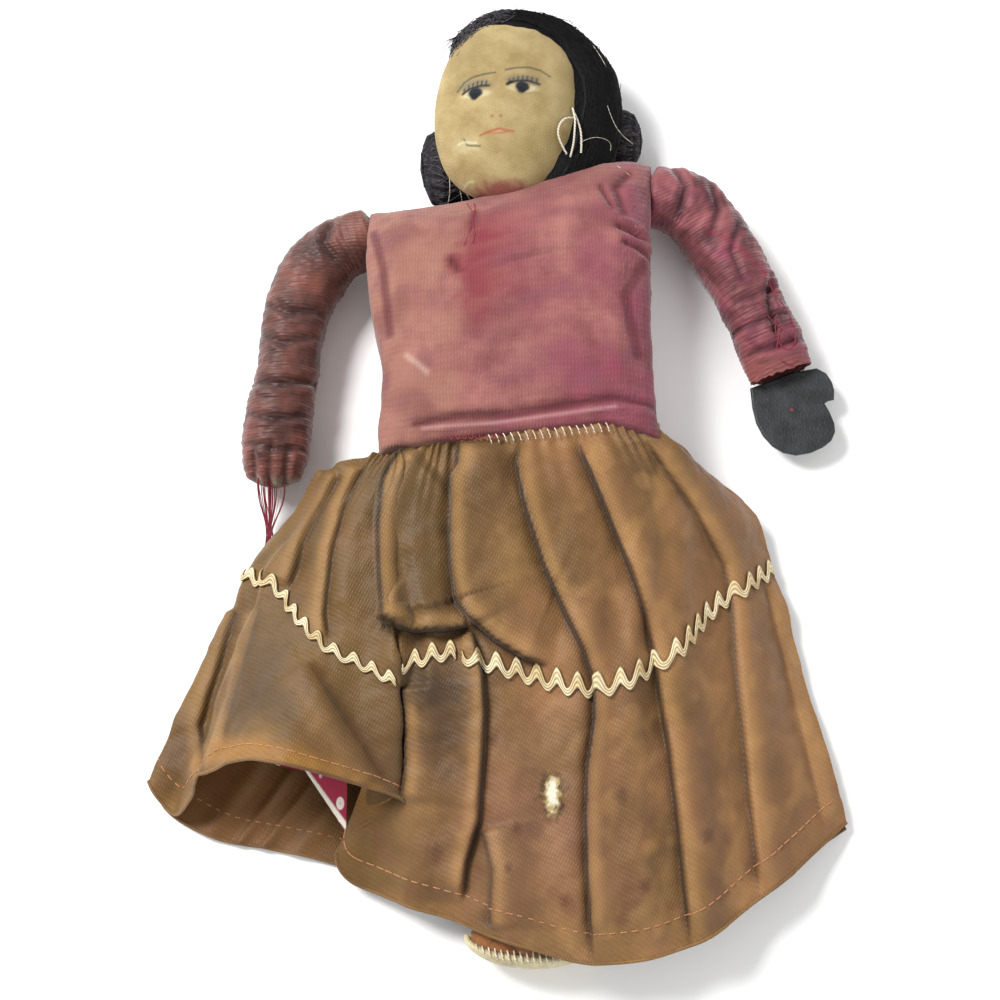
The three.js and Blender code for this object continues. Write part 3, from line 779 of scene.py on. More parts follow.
crease(blouse, blouse_creases)
dye_and_shade = DyeAndShade(blouse)
p = dye_and_shade.points
across = np.interp(p[:, 0], [-38, -10, 10, 44], [0, 0.35, 0.6, 1])
dye_and_shade.lay("#ad7a66", 0.7 * (1 - ease(0.1, 0.6, across + 0.35 * blur(p, 14, 4))))
dye_and_shade.lay("#96485c", 0.85 * ease(0.45, 1.0, across + 0.35 * blur(p, 12, 6) - 0.004 * (p[:, 1] - 35)))
dye_and_shade.lay(
    "#a8405e", 0.7 * ease(0.1, 0.7, blur(p, 9, 8)) * ease(10, 34, p[:, 0]) * (1 - ease(14, 34, p[:, 1])),
)
dye_and_shade.lay("#74383a", 0.5 * ease(-0.1, 0.8, blur(p, 11, 9) + 0.25 * ease(30, 4, p[:, 1])))
dye_and_shade.lay("#85505a", 0.4 * ease(0.0, 0.8, blur(p, 6, 12)))
dye_and_shade.lay("#8a4a3e", 0.55 * ease(66, 82, p[:, 1]) * (1 - ease(24, 40, p[:, 0])))
for centre, half, strength in (
    ((-6, 46), (5, 13), 0.75), ((-3, 60), (6, 6), 0.6), ((-12, 49), (2.5, 2.5), 0.7),
    ((4, 44), (5, 8), 0.4), ((7, 56), (3, 2.5), 0.5),
):
    dye_and_shade.spot("#8c2038", centre, half, strength, 0.7, 0.45)
# painted shade: the cloth is darkened along each crease
for line, depth, width in blouse_creases:
    dye_and_shade.line("#5f1c28", line, width * 1.4, min(0.85, 0.5 + depth * 0.3), 0.8)
dye_and_shade.line("#d8b2a4", [(-24.5, 23.5), (-19, 18.5)], 1.2, 0.7, 0.8)
# painted highlight: a pale pink line along the rolled hem
dye_and_shade.line("#dba8a8", [(-20, 3.4), (0, 5), (16, 7.4), (30, 9.2)], 0.9, 0.45, 0.6)
dye_and_shade.line("#6a1526", [(-7, 66), (-9.2, 54)], 0.7, 0.9)
dye_and_shade.fix()
fit(blouse, "trunk", "velveteen", "blouse_front", "blouse_back", "trunk_cover", "trunk_stuffing", fill=0.8)

# ---- Sleeves ----
# Tubes of the same velveteen, dyed darker, over stuffed arms. Fine ribs cross them; the doll's right
# sleeve is gathered shut where its hand is gone, the left one ends in a ragged cuff.

RIGHT_ARM = [
    (-33, 65, 13.5), (-46.5, 59.5, 11.5), (-55, 46, 10), (-58.1, 25, 9.4), (-60.4, 9, 9.2), (-61, -6.5, 9),
]
RIGHT_WIDTH = [7.4, 8.2, 9.2, 9.8, 9.4, 8.6, 8.4, 9.0, 9.2, 8.8, 6.5]
RIGHT_HEIGHT = [8.5, 8.4, 7.6, 8.4, 8.6, 8.2, 8, 8.2, 8.2, 7.4, 3]
LEFT_ARM = [(39, 76.5, 14), (53.5, 72.5, 12), (64, 57, 10), (70.5, 43, 9.6), (74, 34, 9), (77, 25.6, 8.4)]
LEFT_WIDTH = [7.4, 8.8, 9.6, 9.4, 9.2, 9, 8.8, 9, 9.2, 9.2, 9.0]
LEFT_HEIGHT = [8.8, 9.0, 8.8, 8.4, 8.6, 8.4, 8, 7.6, 7, 6.0, 3.4]


def keep_above(piece, height):
    """Flattens what would lie under a height above the table."""
    points = points_of(piece)
    points[:, 2] = np.maximum(points[:, 2], height)
    move(piece, points)


def sleeve_point(path, width, height, u, v, closed_end):
    shut = np.sqrt(np.clip(v / 0.05, 0, 1))
    if closed_end:
        shut = shut * np.sqrt(np.clip((1 - v) / 0.035, 0, 1))
    ribs = 0.09 * np.sin(
        v * 2 * math.pi * 38 + 2.6 * np.sin(u * 2 * math.pi * 2 + v * 11)
    ) * ease(0.04, 0.15, v)
    place = tube(path, profile(width, v) * shut, profile(height, v) * shut, u, v, 0.9)
    return place + unit(place - smooth_path(path, v)) * (ribs * shut)[:, None]


def make_sleeve(name, path, width, height, closed_end, finish, creases):
    sleeve = sheet_mesh(
        name, 110, 210, lambda u, v: sleeve_point(path, width, height, u, v, closed_end), finish,
    )
    stuff(sleeve, 2.0, 0.8)
    crease(sleeve, creases, 0.42, 7.0, 4)
    keep_above(sleeve, 0.4)
    return sleeve


dark_velveteen = woven(
    "brown_rose_velveteen", "#6e3e33", "#3c201b", [(90, 0.9, 3.0)], 9.0, 0.5, 0.3, 0.00009, 0.08, 0.85,
)
right_creases = [
    ([(-49, 41), (-57, 40), (-64, 44)], 1.1, 1.1), (
        [(-50, 34), (-58, 31.5), (-65, 35)], 0.9, 1.0,
    ), ([(-50, 22), (-59, 20), (-67, 22)], 1.3, 1.2),
    (
        [(-52, 12), (-60, 10), (-68, 13)], 0.9, 1.0,
    ), ([(-44, 54), (-48, 60), (-46, 67)], 0.9, 1.2), ([(-53, 3), (-60, 2), (-68, 5)], 0.6, 1.0),
    ([(-62, -7), (-61, 4)], 0.8, 0.8), ([(-58, -7), (-56, 3)], 0.7, 0.8), (
        [(-65.5, -5), (-66, 3)], 0.6, 0.7,
    ),
]
right_sleeve = make_sleeve(
    "right_sleeve", RIGHT_ARM, RIGHT_WIDTH, RIGHT_HEIGHT, True, dark_velveteen, right_creases,
)
dye_and_shade = DyeAndShade(right_sleeve)
p = dye_and_shade.points
dye_and_shade.lay("#7c4638", 0.6 * ease(0.0, 0.8, blur(p, 9, 3) + 0.5 * ease(58, 72, p[:, 1])))
dye_and_shade.lay("#80463e", 0.7 * (1 - ease(5, 20, p[:, 1])) * ease(-0.3, 0.5, blur(p, 10, 5) + 0.15))
dye_and_shade.lay("#3a1c18", 0.55 * ease(-0.1, 0.7, blur(p, 7, 7)))
dye_and_shade.lay("#8b8370", 0.75 * (1 - ease(-6.5, -3.5, p[:, 1])))
# painted shade: the sleeve is darkened along each crease
for line, depth, width in right_creases:
    dye_and_shade.line("#2c1210", line, width * 1.5, 0.7, 0.8)
dye_and_shade.fix()
fit(
    right_sleeve, "arm_right", "dark_velveteen", "sleeve_right", "arm_stuffing_right",
    "shoulder_seam_right", fill=0.75,
)

plum_velveteen = woven(
    "plum_velveteen", "#84474c", "#52272b", [(66, 0.9, 3.0)], 9.0, 0.58, 0.25, 0.00009, 0.08, 0.85,
)
left_creases = [
    ([(58, 78), (60, 70), (57, 61)], 0.9, 1.2), ([(66, 68), (63, 58), (66, 50)], 0.8, 1.0), (
        [(74.5, 52), (73, 44), (75, 34)], 1.4, 0.9,
    ),
    (
        [(64, 44), (71, 46), (77, 50)], 0.9, 1.0,
    ), ([(62, 36), (70, 38), (80, 42)], 0.7, 1.0), ([(68, 30), (76, 32), (84, 36)], 1.0, 1.0),
    ([(47, 84), (51, 76), (49, 68)], 1.1, 1.2),
]
left_sleeve = make_sleeve(
    "left_sleeve", LEFT_ARM, LEFT_WIDTH, LEFT_HEIGHT, False, plum_velveteen, left_creases,
)
frayed = points_of(left_sleeve)
end = smooth_path(LEFT_ARM, np.ones(1))[0]
cuff_way = np.array([0.33, -0.94])
reach = (frayed[:, :2] - end[:2]) @ cuff_way
ragged = ease(-2.5, 0, reach) * (0.7 * blur(frayed, 2.2, 5) - 0.2)
frayed[:, :2] += ragged[:, None] * cuff_way
move(left_sleeve, frayed)
dye_and_shade = DyeAndShade(left_sleeve)
p = dye_and_shade.points
dye_and_shade.lay("#9c585c", 0.65 * ease(0.0, 0.6, blur(p, 9, 3) + 0.3 * ease(64, 80, p[:, 1])))
dye_and_shade.lay("#82384e", 0.7 * ease(-0.1, 0.5, blur(p, 8, 5) - 0.015 * (p[:, 1] - 50)))
dye_and_shade.lay("#4a1e26", 0.45 * ease(0.0, 0.7, blur(p, 6, 7)))
dye_and_shade.lay("#9a5a50", 0.6 * (1 - ease(26, 34, p[:, 1])))
# painted shade: the sleeve is darkened along each crease
for line, depth, width in left_creases:
    dye_and_shade.line("#3f1420", line, width * 1.5, 0.7, 0.8)
dye_and_shade.line("#94203f", [(57, 64), (64, 60), (69, 55), (74, 50), (77, 43)], 1.0, 0.5, 0.8)
dye_and_shade.fix()
fit(
    left_sleeve, "arm_left", "velveteen", "sleeve_left", "arm_stuffing_left", "shoulder_seam_left",
    fill=0.7,
)

# ---- Sewing threads on the sleeves ----
# Dark red thread ends hang where the right sleeve is gathered, and a loose loop of red thread is
# caught on the left sleeve above the cuff.

red_thread, tree, place = finish_of("dark_red_sewing_thread")
colour = two_tones(tree, place, 1.2, "#4c1220", "#9c2a40")
add(
    tree, "OutputMaterial",
    {"Surface": add(tree, "BsdfPrincipled", {"Base Color": colour, "Roughness": 0.7})},
)
random.seed(SEED + 1)
wrist_runs = []
for i in range(22):
    x, lean = random.uniform(-65, -57), random.uniform(-1.5, 1.5)
    wrist_runs.append([
        (
            x, -5.5 + random.uniform(-1, 1), 9 + random.uniform(0, 3),
        ), (x + lean * 0.2, -9, 7.5), (-62.3 + (x + 62) * 0.4, -14, 4),
        (-62.4 + lean * 0.5, -18.5, 1.8), (-62.5 + lean, -20 - random.uniform(0, 3.5), 0.7),
    ])
wrist = threads("wrist_thread_ends", wrist_runs, 0.14, red_thread, "arm_right", "thread")
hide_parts("wrist_threads")
threads(
    "wrist_white_threads",
    [
        [(-64, -5, 8), (-63, -10, 6.5), (-62, -15, 3), (-61, -20, 0.8)],
        [(-59, -6, 8), (-60, -11, 6), (-62, -17, 2), (-63.6, -21, 0.7)],
    ],
    0.12, string_finish, "arm_right", "thread",
)


def skin_tree(*pieces):
    """Finds the highest surface over a place."""
    vertices, polygons = [], []
    for piece in pieces:
        first = len(vertices)
        vertices += [tuple(v) for v in points_of(piece)]
        polygons += [tuple(i + first for i in polygon.vertices) for polygon in piece.data.polygons]
    return BVHTree.FromPolygons(vertices, polygons)


def laid_on(tree_of_skin, line, lift):
    """A line drawn from above, laid on the surface under it."""
    run = []
    for x, y in line:
        hit = tree_of_skin.ray_cast(Vector((x, y, 60)), Vector((0, 0, -1)))[0]
        run.append((x, y, (hit.z if hit else 1.0) + lift))
    return run


left_skin = skin_tree(left_sleeve)
caught = [
    [
        (72.5, 52), (74, 47), (77.5, 43), (80, 38), (80.5, 33), (78, 30), (75, 33), (74.5, 39), (76.5, 44),
        (79, 46),
    ],
    [(70, 43), (73, 39), (77, 35.5), (81, 34), (83.5, 32)],
    [(76, 36), (74.5, 31), (76, 27.5), (80, 27)],
]
threads(
    "sleeve_red_loops", [laid_on(left_skin, line, 0.35) for line in caught], 0.16, red_thread, "arm_left",
    "thread",
)
blouse_skin = skin_tree(blouse)
collar = [
    [(-7 + 0.3 * math.sin(i), 69.5 - i * 1.5) for i in range(11)],
    [(-9, 70), (-8, 67), (-6.4, 64), (-8.4, 58), (-9.4, 54)],
]
threads(
    "collar_red_threads", [laid_on(blouse_skin, line, 0.1) for line in collar], 0.15, red_thread, "trunk",
    "thread",
)
stray = [[(32, 81), (35, 78), (40, 73), (42, 70)], [(36, 60), (39, 58.6), (41, 57)]]
threads(
    "stray_pale_hairs", [laid_on(blouse_skin, line, 0.4) for line in stray], 0.07, string_finish, "trunk",
    "string",
)

# ---- Left hand ----
# A mitten with a stub of a thumb, cut from thin black grained leather and tucked into the cuff. A
# pinhole is pricked in its back.

leather, tree, place = finish_of("black_grained_leather")
# pebbles about 1 mm across, with fine pores between
pebbles = add(
    tree, "TexVoronoi", {"Vector": place, "Scale": 1 / (1.0 * MM), "Randomness": 1.0},
    feature="DISTANCE_TO_EDGE",
)
colour = two_tones(tree, place, 4, "#151617", "#2b2d2f", 0.35, 0.7, 6.0)
bump = add(tree, "Bump", {"Height": pebbles, "Distance": 0.00022, "Strength": 0.7})
add(
    tree, "OutputMaterial",
    {"Surface": add(tree, "BsdfPrincipled", {"Base Color": colour, "Roughness": 0.5, "Normal": bump})},
)
HAND = [
    (68.6, 22.5), (69, 17), (69.9, 12.5), (71.6, 8.9), (74, 6), (77, 4.1), (80.5, 3.4), (84.4, 4.1),
    (88, 5.8), (90.2, 7.6), (91.3, 10), (91.2, 12.4), (90, 15.8), (88.7, 18.2), (89.8, 18.9),
    (91.4, 19.3), (91.6, 22), (91, 24.4), (89.6, 26.8), (87, 28.3), (80, 27), (74, 24.5),
]
shape = bmesh.new()
outline = [shape.verts.new((x * MM, y * MM, 5.4 * MM)) for x, y in HAND]
face_of_hand = shape.faces.new(outline)
raised = bmesh.ops.extrude_face_region(shape, geom=[face_of_hand])
bmesh.ops.translate(
    shape, vec=(0, 0, 1.4 * MM), verts=[v for v in raised["geom"] if isinstance(v, bmesh.types.BMVert)],
)
bmesh.ops.recalc_face_normals(shape, faces=shape.faces)
rim = [edge for edge in shape.edges if abs(edge.verts[0].co.z - edge.verts[1].co.z) < 1e-6]
bmesh.ops.bevel(shape, geom=rim, offset=0.45 * MM, affect="EDGES", segments=3, profile=0.5, material=-1)
hand = put("leather_hand", bpy.data.meshes.new("leather_hand"))
shape.to_mesh(hand.data)
hand.data.materials.append(leather)
fit(hand, "hand", "black_leather", "hand_left")
threads("hand_pinhole", [[(79.6, 16.2, 6.75), (79.6, 16.2, 6.86)]], 0.42, red_thread, "hand", "thread", 3)

# ---- Legs ----
# Two stuffed muslin tubes that lie under the skirt, shut at both ends and creased at the knee.

leg_muslin = woven(
    "leg_muslin", "#c9b588", "#a8915f", [(0, 0.6, 0.5), (90, 0.6, 0.5)], 12.0, 0.85, 0.1, 0.00014, 0.12,
)
LEGS = {
    "right": {"hip": (-9, -5, 11), "ankle": (14.5, -115, 9.6), "foot": (8.5, -124, 8.9), "toe": -1},
    "left": {"hip": (21.2, -4, 11), "ankle": (36.5, -103, 9.8), "foot": (41.5, -105.5, 8.8), "toe": 1},
}
for side, leg in LEGS.items():
    middle = [(h + a) / 2 for h, a in zip(leg["hip"], leg["ankle"])]

    def leg_point(u, v):
        shut = np.sqrt(np.clip(np.minimum(v / 0.05, (1 - v) / 0.02), 0, 1))
        width = profile([6.4, 7.2, 6.8, 6.2, 5.4], v) * shut
        height = profile([6.4, 7.2, 6.8, 6.4, 5.6], v) * shut
        return tube([leg["hip"], middle, leg["ankle"]], width, height, u, v)

    limb = sheet_mesh(f"muslin_leg_{side}", 56, 130, leg_point, leg_muslin)
    knee = [
        ([(middle[0] - 8, middle[1] + 2), (middle[0] + 8, middle[1])], 0.8, 1.4),
        ([(middle[0] - 8, middle[1] - 6), (middle[0] + 8, middle[1] - 5)], 0.5, 1.2),
    ]
    crease(limb, knee, 0.35, 9, 2)
    DyeAndShade(limb).fix()
    fit(limb, f"leg_{side}", "muslin", f"leg_cover_{side}", f"leg_stuffing_{side}", fill=0.85)

# ---- Moccasins ----
# Brown suede uppers on soft cream soles that turn up round the foot, sewn together with a running
# stitch that puckers the edge.


def hide(name, light, dark, nap, roughness, depth):
    """Suede or soft leather with a short nap."""
    material, tree, place = finish_of(name)
    colour = two_tones(tree, place, 5, dark, light, 0.33, 0.67, 6.0, 0.7)
    hairs = add(tree, "TexNoise", {"Vector": place, "Scale": 1 / (nap * MM), "Detail": 4.0})
    bump = add(tree, "Bump", {"Height": hairs, "Distance": depth, "Strength": 0.8})
    add(
        tree, "OutputMaterial",
        {
            "Surface": add(
                tree, "BsdfPrincipled",
                {"Base Color": colour, "Roughness": roughness, "Normal": bump, "Sheen Weight": 0.2},
            )
        },
    )
    return material


suede = hide("brown_suede", "#9a6230", "#5a3414", 0.5, 0.9, 0.0002)
cream_hide = hide("cream_soft_leather", "#d0c49c", "#9c8c60", 0.7, 0.8, 0.0003)
FOOT_HALF = half_long, half_wide, half_deep = 16.0, 6.8, 6.4
TOE_TAPER = 0.22
for side, leg in LEGS.items():
    x0, y0, z0 = leg["foot"]
    toe = leg["toe"]

    def foot_point(u, v):
        direction = ball_direction(u, v)[:, [1, 2, 0]]
        direction[:, 2] *= 1 - TOE_TAPER * np.maximum(0, direction[:, 0] * toe)
        return np.array(leg["foot"]) + direction * FOOT_HALF

    upper = sheet_mesh(f"suede_upper_{side}", 90, 90, foot_point, suede)
    crease(
        upper,
        [
            ([(x0 - 7, y0 + 8), (x0 - 6, y0 - 3), (x0 - 2, y0 - 7)], 0.8, 0.8),
            ([(x0 + 7, y0 + 7), (x0 + 6, y0 - 4)], 0.6, 0.9),
        ],
        0.3, 5, 6,
    )
    fit(upper, f"leg_{side}", "brown_suede", f"moccasin_upper_{side}")
    # the sole is the lower half of the foot's shape, with a turned wall of 1.3 mm
    def sole_point(u, v):
        rim = 0.5 + 0.5 * np.clip((u - 0.5) * 2.04, -1, 1)
        inner = np.abs(rim - 0.5) * 2
        angle = math.pi * (1.13 + 0.6 * np.where(u < 0.5, u * 2, 2 - u * 2))
        down = v * math.pi
        thick = np.where(u < 0.5, 1.7, 0.35)
        ring = np.sin(down)
        direction = np.column_stack([np.cos(down), np.sin(angle) * ring, np.cos(angle) * ring])
        narrow = 1 - TOE_TAPER * np.maximum(0, direction[:, 0] * toe)
        pucker = 1 + 0.25 * np.sin(v * 2 * math.pi * 21) * (inner > 0.85)
        return np.column_stack([
            x0 + direction[:, 0] * (half_long + thick),
            y0 + direction[:, 1] * (half_wide + thick) + 0.4,
            z0 + direction[:, 2] * (half_deep * narrow + thick * pucker),
        ])

    sole = sheet_mesh(f"cream_sole_{side}", 72, 140, sole_point, cream_hide)
    keep_above(sole, 0.3)
    fit(sole, f"leg_{side}", "cream_leather", f"moccasin_sole_{side}")
    sewing = []
    for i in range(19):
        t = -0.86 + i * 0.095
        x = x0 + 16.6 * t
        ring = math.sqrt(max(0.02, 1 - t * t))
        narrow = 1 - TOE_TAPER * max(0, t * toe)
        sewing.append([
            (
                x + shift, y0 + (half_wide + out) * ring * math.sin(turn),
                z0 + (half_deep * narrow + out) * ring * math.cos(turn),
            )
            for shift, out, turn in ((-0.3, 0.0, 5.68), (0, 1.7, 5.56), (0.3, 2.3, 5.42), (0.4, 1.6, 5.3))
        ])
    threads(f"sole_stitches_{side}", sewing, 0.2, string_finish, f"leg_{side}", "string")

# ---- Skirt ----
# Bronze cotton sateen, pleated and gathered into a muslin band. The doll's right side of the front is
# rucked up into a tunnel at the hem, so the inside of the back shows. A moth hole is worn in the front.

# The front, fold line by fold line from the doll's right to its left. Each fold line runs from under
# the blouse, over the lap and the braid, down to the hem.
FOLD_LINES = [
    [(-49, -5, 9), (-58, -17, 5), (-68, -29.5, 3), (-91.5, -84.5, 3)],
    [(-47, -3.6, 13), (-56.5, -17.5, 9.5), (-66, -31.5, 7), (-88.5, -89.5, 4)],
    [(-43, -2.6, 16), (-54, -19, 13), (-63.5, -32.5, 10.5), (-84.5, -93, 5.5)],
    [(-38, -1.4, 18.5), (-51, -20, 15.5), (-61.5, -33.5, 13.5), (-78.5, -89.5, 12)],
    [(-33.5, -0.4, 21), (-48, -21.5, 18), (-58, -36.5, 16), (-76.5, -84.5, 20)],
    [(-30, 0.4, 23.5), (-44.5, -23, 21), (-52.5, -44.5, 20), (-65.5, -82, 28)],
    [(-27, 1.6, 26), (-39.5, -24.5, 23.5), (-44.5, -53, 23), (-52, -84, 31)],
    [(-25, 2, 27), (-35, -25.5, 25), (-35.5, -57.5, 24.5), (-37.5, -87, 26)],
    # the tunnel's edge turns back under here and comes forward again
    [(-23, 2, 27.6), (-29.5, -26, 26.5), (-26, -62.5, 25), (-25.5, -91, 15)],
    [(-22, 2, 28), (-28.5, -26, 26), (-26.5, -62, 24), (-35.5, -96.5, 9.5)],
    [(-21, 2, 28.4), (-28, -26, 26), (-26, -60.5, 23.5), (-41, -102, 5.5)],
    [(-20, 2, 28.6), (-27, -26, 26.3), (-24.5, -58, 23.8), (-38.5, -110, 5)],
    [(-17.5, 2.4, 28.8), (-23, -26, 27), (-19, -56, 24.5), (-25.5, -115.5, 8.5)],
    [(-13, 3, 29), (-15.5, -25.5, 28), (-12.5, -55, 25), (-12.5, -120, 11.5)],
    [(-1, 4, 29.2), (0, -25.5, 29), (0, -58.5, 25), (5, -126.5, 17.5)],
    [(19, 5.5, 29.2), (25.5, -25, 29), (23.5, -64, 25), (24.5, -131, 18)],
    [(32, 6, 28.6), (42.5, -22, 26), (41, -56.5, 23), (47.5, -126.5, 16)],
    [(41, 4.5, 24.5), (56, -15, 18), (58, -39.5, 15), (68.5, -112.5, 11)],
    [(43, 4, 16), (66, -11, 8), (73, -28.5, 4), (90, -95, 3)],
]
DOWN = [0, 0.25, 0.48, 1]  # how far down the skirt a fold line's four points are
BRAID_AT = DOWN[2]
folds = np.array(FOLD_LINES, float)
hem_run, lap_run = lengths_along(folds[:, 3]), lengths_along(folds[:, 1])
# the cloth's width is shared out between what the hem and the lap need
SHARE = 0.62 * hem_run / hem_run[-1] + 0.38 * lap_run / lap_run[-1]
STEPS = 80
fine_v = np.linspace(0, 1, STEPS)
fine = np.array([smooth_path(line, np.interp(fine_v, DOWN, np.linspace(0, 1, 4))) for line in folds])


def front_point(u, v):
    """A point of the skirt's front, u from the doll's right to its left and v from waist to hem."""
    place = np.interp(u, SHARE, np.arange(len(folds)))
    i = np.clip(place.astype(int), 0, len(folds) - 2)
    f = (place - i)[:, None]
    row = np.clip(v, 0, 1) * (STEPS - 1)
    k = np.clip(row.astype(int), 0, STEPS - 2)
    g = (row - k)[:, None]
    at = lambda j: fine[np.clip(j, 0, len(folds) - 1), k] * (1 - g) + fine[
        np.clip(j, 0, len(folds) - 1), k + 1,
    ] * g
    return smooth_between(at(i - 1), at(i), at(i + 1), at(i + 2), f)


def cloth_normal(surface_point, u, v):
    step = 0.004
    across = surface_point(np.minimum(u + step, 1), v) - surface_point(np.maximum(u - step, 0), v)
    along = surface_point(u, np.maximum(v - step, 0)) - surface_point(u, np.minimum(v + step, 1))
    return unit(np.cross(across, along))


# Each folded edge as seen from above: its line, the side that lies on top (1 is left of the way it
# runs), how high it stands, how far the raised side reaches back, how far it hangs over, how soft it is.
PLEATS = [
    (
        [(-22, 0), (-26.5, -4), (-29.8, -9.5), (-30.8, -21.5), (-30.4, -34), (-29.3, -46), (-27, -50.5)], 1,
        4.2, 15, 1.6, 0.7,
    ),
    (
        [(-30, -45.6), (-26, -47.6), (-22, -48.6), (-14, -48.4), (-8, -47.4), (-7.4, -48.6)], 1, 3.4, 8,
        1.2, 0.9,
    ),
    (
        [
            (-10, 2), (-10.5, -6), (-12.4, -9), (-12.6, -22), (-12.2, -32), (-11, -41.5), (-7.5, -45.5),
            (-0.5, -51.5), (7, -56), (14, -57.5),
        ],
        1, 3.8, 14, 1.4, 0.9,
    ),
    (
        [(-7.6, -48), (-4.8, -60), (-4.2, -70), (-4.6, -80), (-5.7, -96), (-8.7, -106), (-9.9, -117)], -1,
        2.8, 16, 1.0, 0.9,
    ),
    ([(-4.0, -98), (-1.5, -108), (-2, -116), (-2.2, -123)], 1, 1.6, 9, 0.8, 0.8),
    (
        [
            (6.2, 2), (4.6, -6), (7, -18), (11.8, -33), (17.4, -45.4), (21.6, -54.2), (24.2, -62),
            (24.1, -71.6), (22.3, -83.4), (21.8, -96), (22, -108), (22.8, -122), (23.2, -133),
        ],
        1, 3.0, 16, 1.2, 0.7,
    ),
    (
        [
            (20.4, 3), (21.6, -3), (27.6, -18.2), (33.3, -32.6), (37.5, -45), (39.8, -55.7), (41, -66),
            (43, -79), (45, -98), (48, -130),
        ],
        1, 2.6, 15, 1.1, 0.8,
    ),
    (
        [(37, 3), (44, -7), (52, -17), (59, -29), (61, -40), (61.6, -60), (63.5, -86), (66, -118)], 1, 2.0,
        12, 0.9, 1.2,
    ),
    ([(-24.5, -62), (-23.5, -72), (-23.6, -84), (-24.6, -91)], 1, 1.9, 12, 0.9, 0.7),
    ([(-49.2, -56.5), (-42.9, -66.4), (-35.1, -77.8), (-29.5, -87)], -1, 1.5, 11, 0.4, 3.0),
    ([(-42, -5), (-47, -14), (-52, -24), (-56, -36)], -1, 1.6, 7, 0.6, 1.0),
    ([(-36, -3), (-41, -14), (-44, -28), (-45.5, -44), (-44, -52)], -1, 1.6, 8, 0.6, 1.0),
    ([(-70, -38), (-74, -52), (-79, -70), (-75.5, -87)], -1, 1.6, 8, 0.9, 0.9),
    ([(-63, -40), (-66, -54), (-70, -72), (-70, -80)], -1, 1.0, 9, 0.6, 1.4),
    ([(70, -30), (75, -52), (80, -76), (84, -98)], 1, 1.2, 10, 0.6, 1.6),
]


def beside(points, line, top_side):
    """How far points are past a folded edge onto its raised side, and how its ends fade out."""
    distance, side, along = near_line(points, line)
    return distance * side * top_side, ease(0, 0.06, along) * (1 - ease(0.9, 1, along))


def pleated(points, normals, u, v):
    """The front with its pleats folded in, gathered at the waist and lightly crumpled."""
    # soft waves run down from the waist between the pleats
    waves = np.sin(u * 2 * math.pi * 11 + 1.5 * np.sin(u * 17) + 0.8 * v)
    lift = 0.8 * waves * ease(0.05, 0.4, v) + 1.0 * blur(points, 17, 21)
    lift = lift + 0.35 * blur(points, 6, 22) + 0.08 * blur(points, 2.6, 23)
    slide = np.zeros((len(points), 2))
    facing = ease(0.0, 0.5, normals[:, 2])
    for line, top_side, height, reach, overhang, softness in PLEATS:
        past, ends = beside(points, line, top_side)
        on_top = ease(-softness, softness, past)
        stand = height * np.exp(-((np.maximum(past, 0) / reach) ** 1.3)) * on_top
        hollow = -0.55 * height * np.exp(-np.maximum(-past, 0) / (1.8 + softness)) * (1 - on_top)
        lift += (stand + hollow) * ends * facing
        a, b = np.array(line[0][:2], float), np.array(line[-1][:2], float)
        way = (b - a) / np.linalg.norm(b - a)
        outward = np.array([way[1], -way[0]]) * top_side
        slide += outward * (overhang * np.exp(-((past / 1.8) ** 2)) * on_top * ends * facing)[:, None]
    gathers = np.sin(u * 2 * math.pi * 31 + 3 * np.sin(u * 40)) * np.exp(-v / 0.07)
    lift += 0.7 * gathers * facing
    moved = points + normals * lift[:, None]
    moved[:, :2] += slide
    moved[:, 2] = np.maximum(moved[:, 2], 0.4)
    return moved


def front_cloth(u, v):
    points = front_point(u, v)
    return pleated(points, cloth_normal(front_point, u, v), u, v)


# Twill lines 0.75 mm apart at 63 degrees, as drawn; the real weave is a little finer.
sateen = woven(
    "bronze_sateen", "#97703f", "#71502a", [(27, 0.75, 0.8), (-60, 1.2, 6.0)], 22.0, 0.56, 0.15, 0.0001,
    0.15, 0.74,
)
front = sheet_mesh("sateen_front", 400, 220, front_cloth, sateen)
dye_and_shade = DyeAndShade(front)
p = dye_and_shade.points
low = blur(p, 24, 31)
dye_and_shade.lay("#a5744a", 0.6 * ease(-0.2, 0.6, low + 0.012 * (p[:, 0] - 10)))
dye_and_shade.lay("#6f5226", 0.8 * (1 - ease(-34, -14, p[:, 0])) * ease(-0.5, 0.5, blur(p, 16, 33) + 0.2))
dye_and_shade.lay("#8f6a2c", 0.6 * (1 - ease(-60, -30, p[:, 0])) * ease(-0.1, 0.5, blur(p, 12, 35)))
dye_and_shade.lay(
    "#6c5430",
    0.85 * np.exp(
        -((p[:, 0] + 20) / 11) ** 2 - ((p[:, 1] + 26) / 26) ** 2
    ) * ease(-0.6, 0.3, blur(p, 10, 36) + 0.3),
)
dye_and_shade.lay("#7a4a34", 0.4 * ease(0.2, 0.6, blur(p, 8, 37)) * ease(-70, -110, p[:, 1]))
dye_and_shade.lay("#9b6a58", 0.35 * np.exp(-((p[:, 0] - 6) / 22) ** 2 - ((p[:, 1] + 96) / 26) ** 2))
# painted sheen: gold patches on the right of the front
dye_and_shade.lay("#c09056", 0.4 * ease(0.1, 0.6, blur(p, 9, 38)) * ease(0, 30, p[:, 0]))
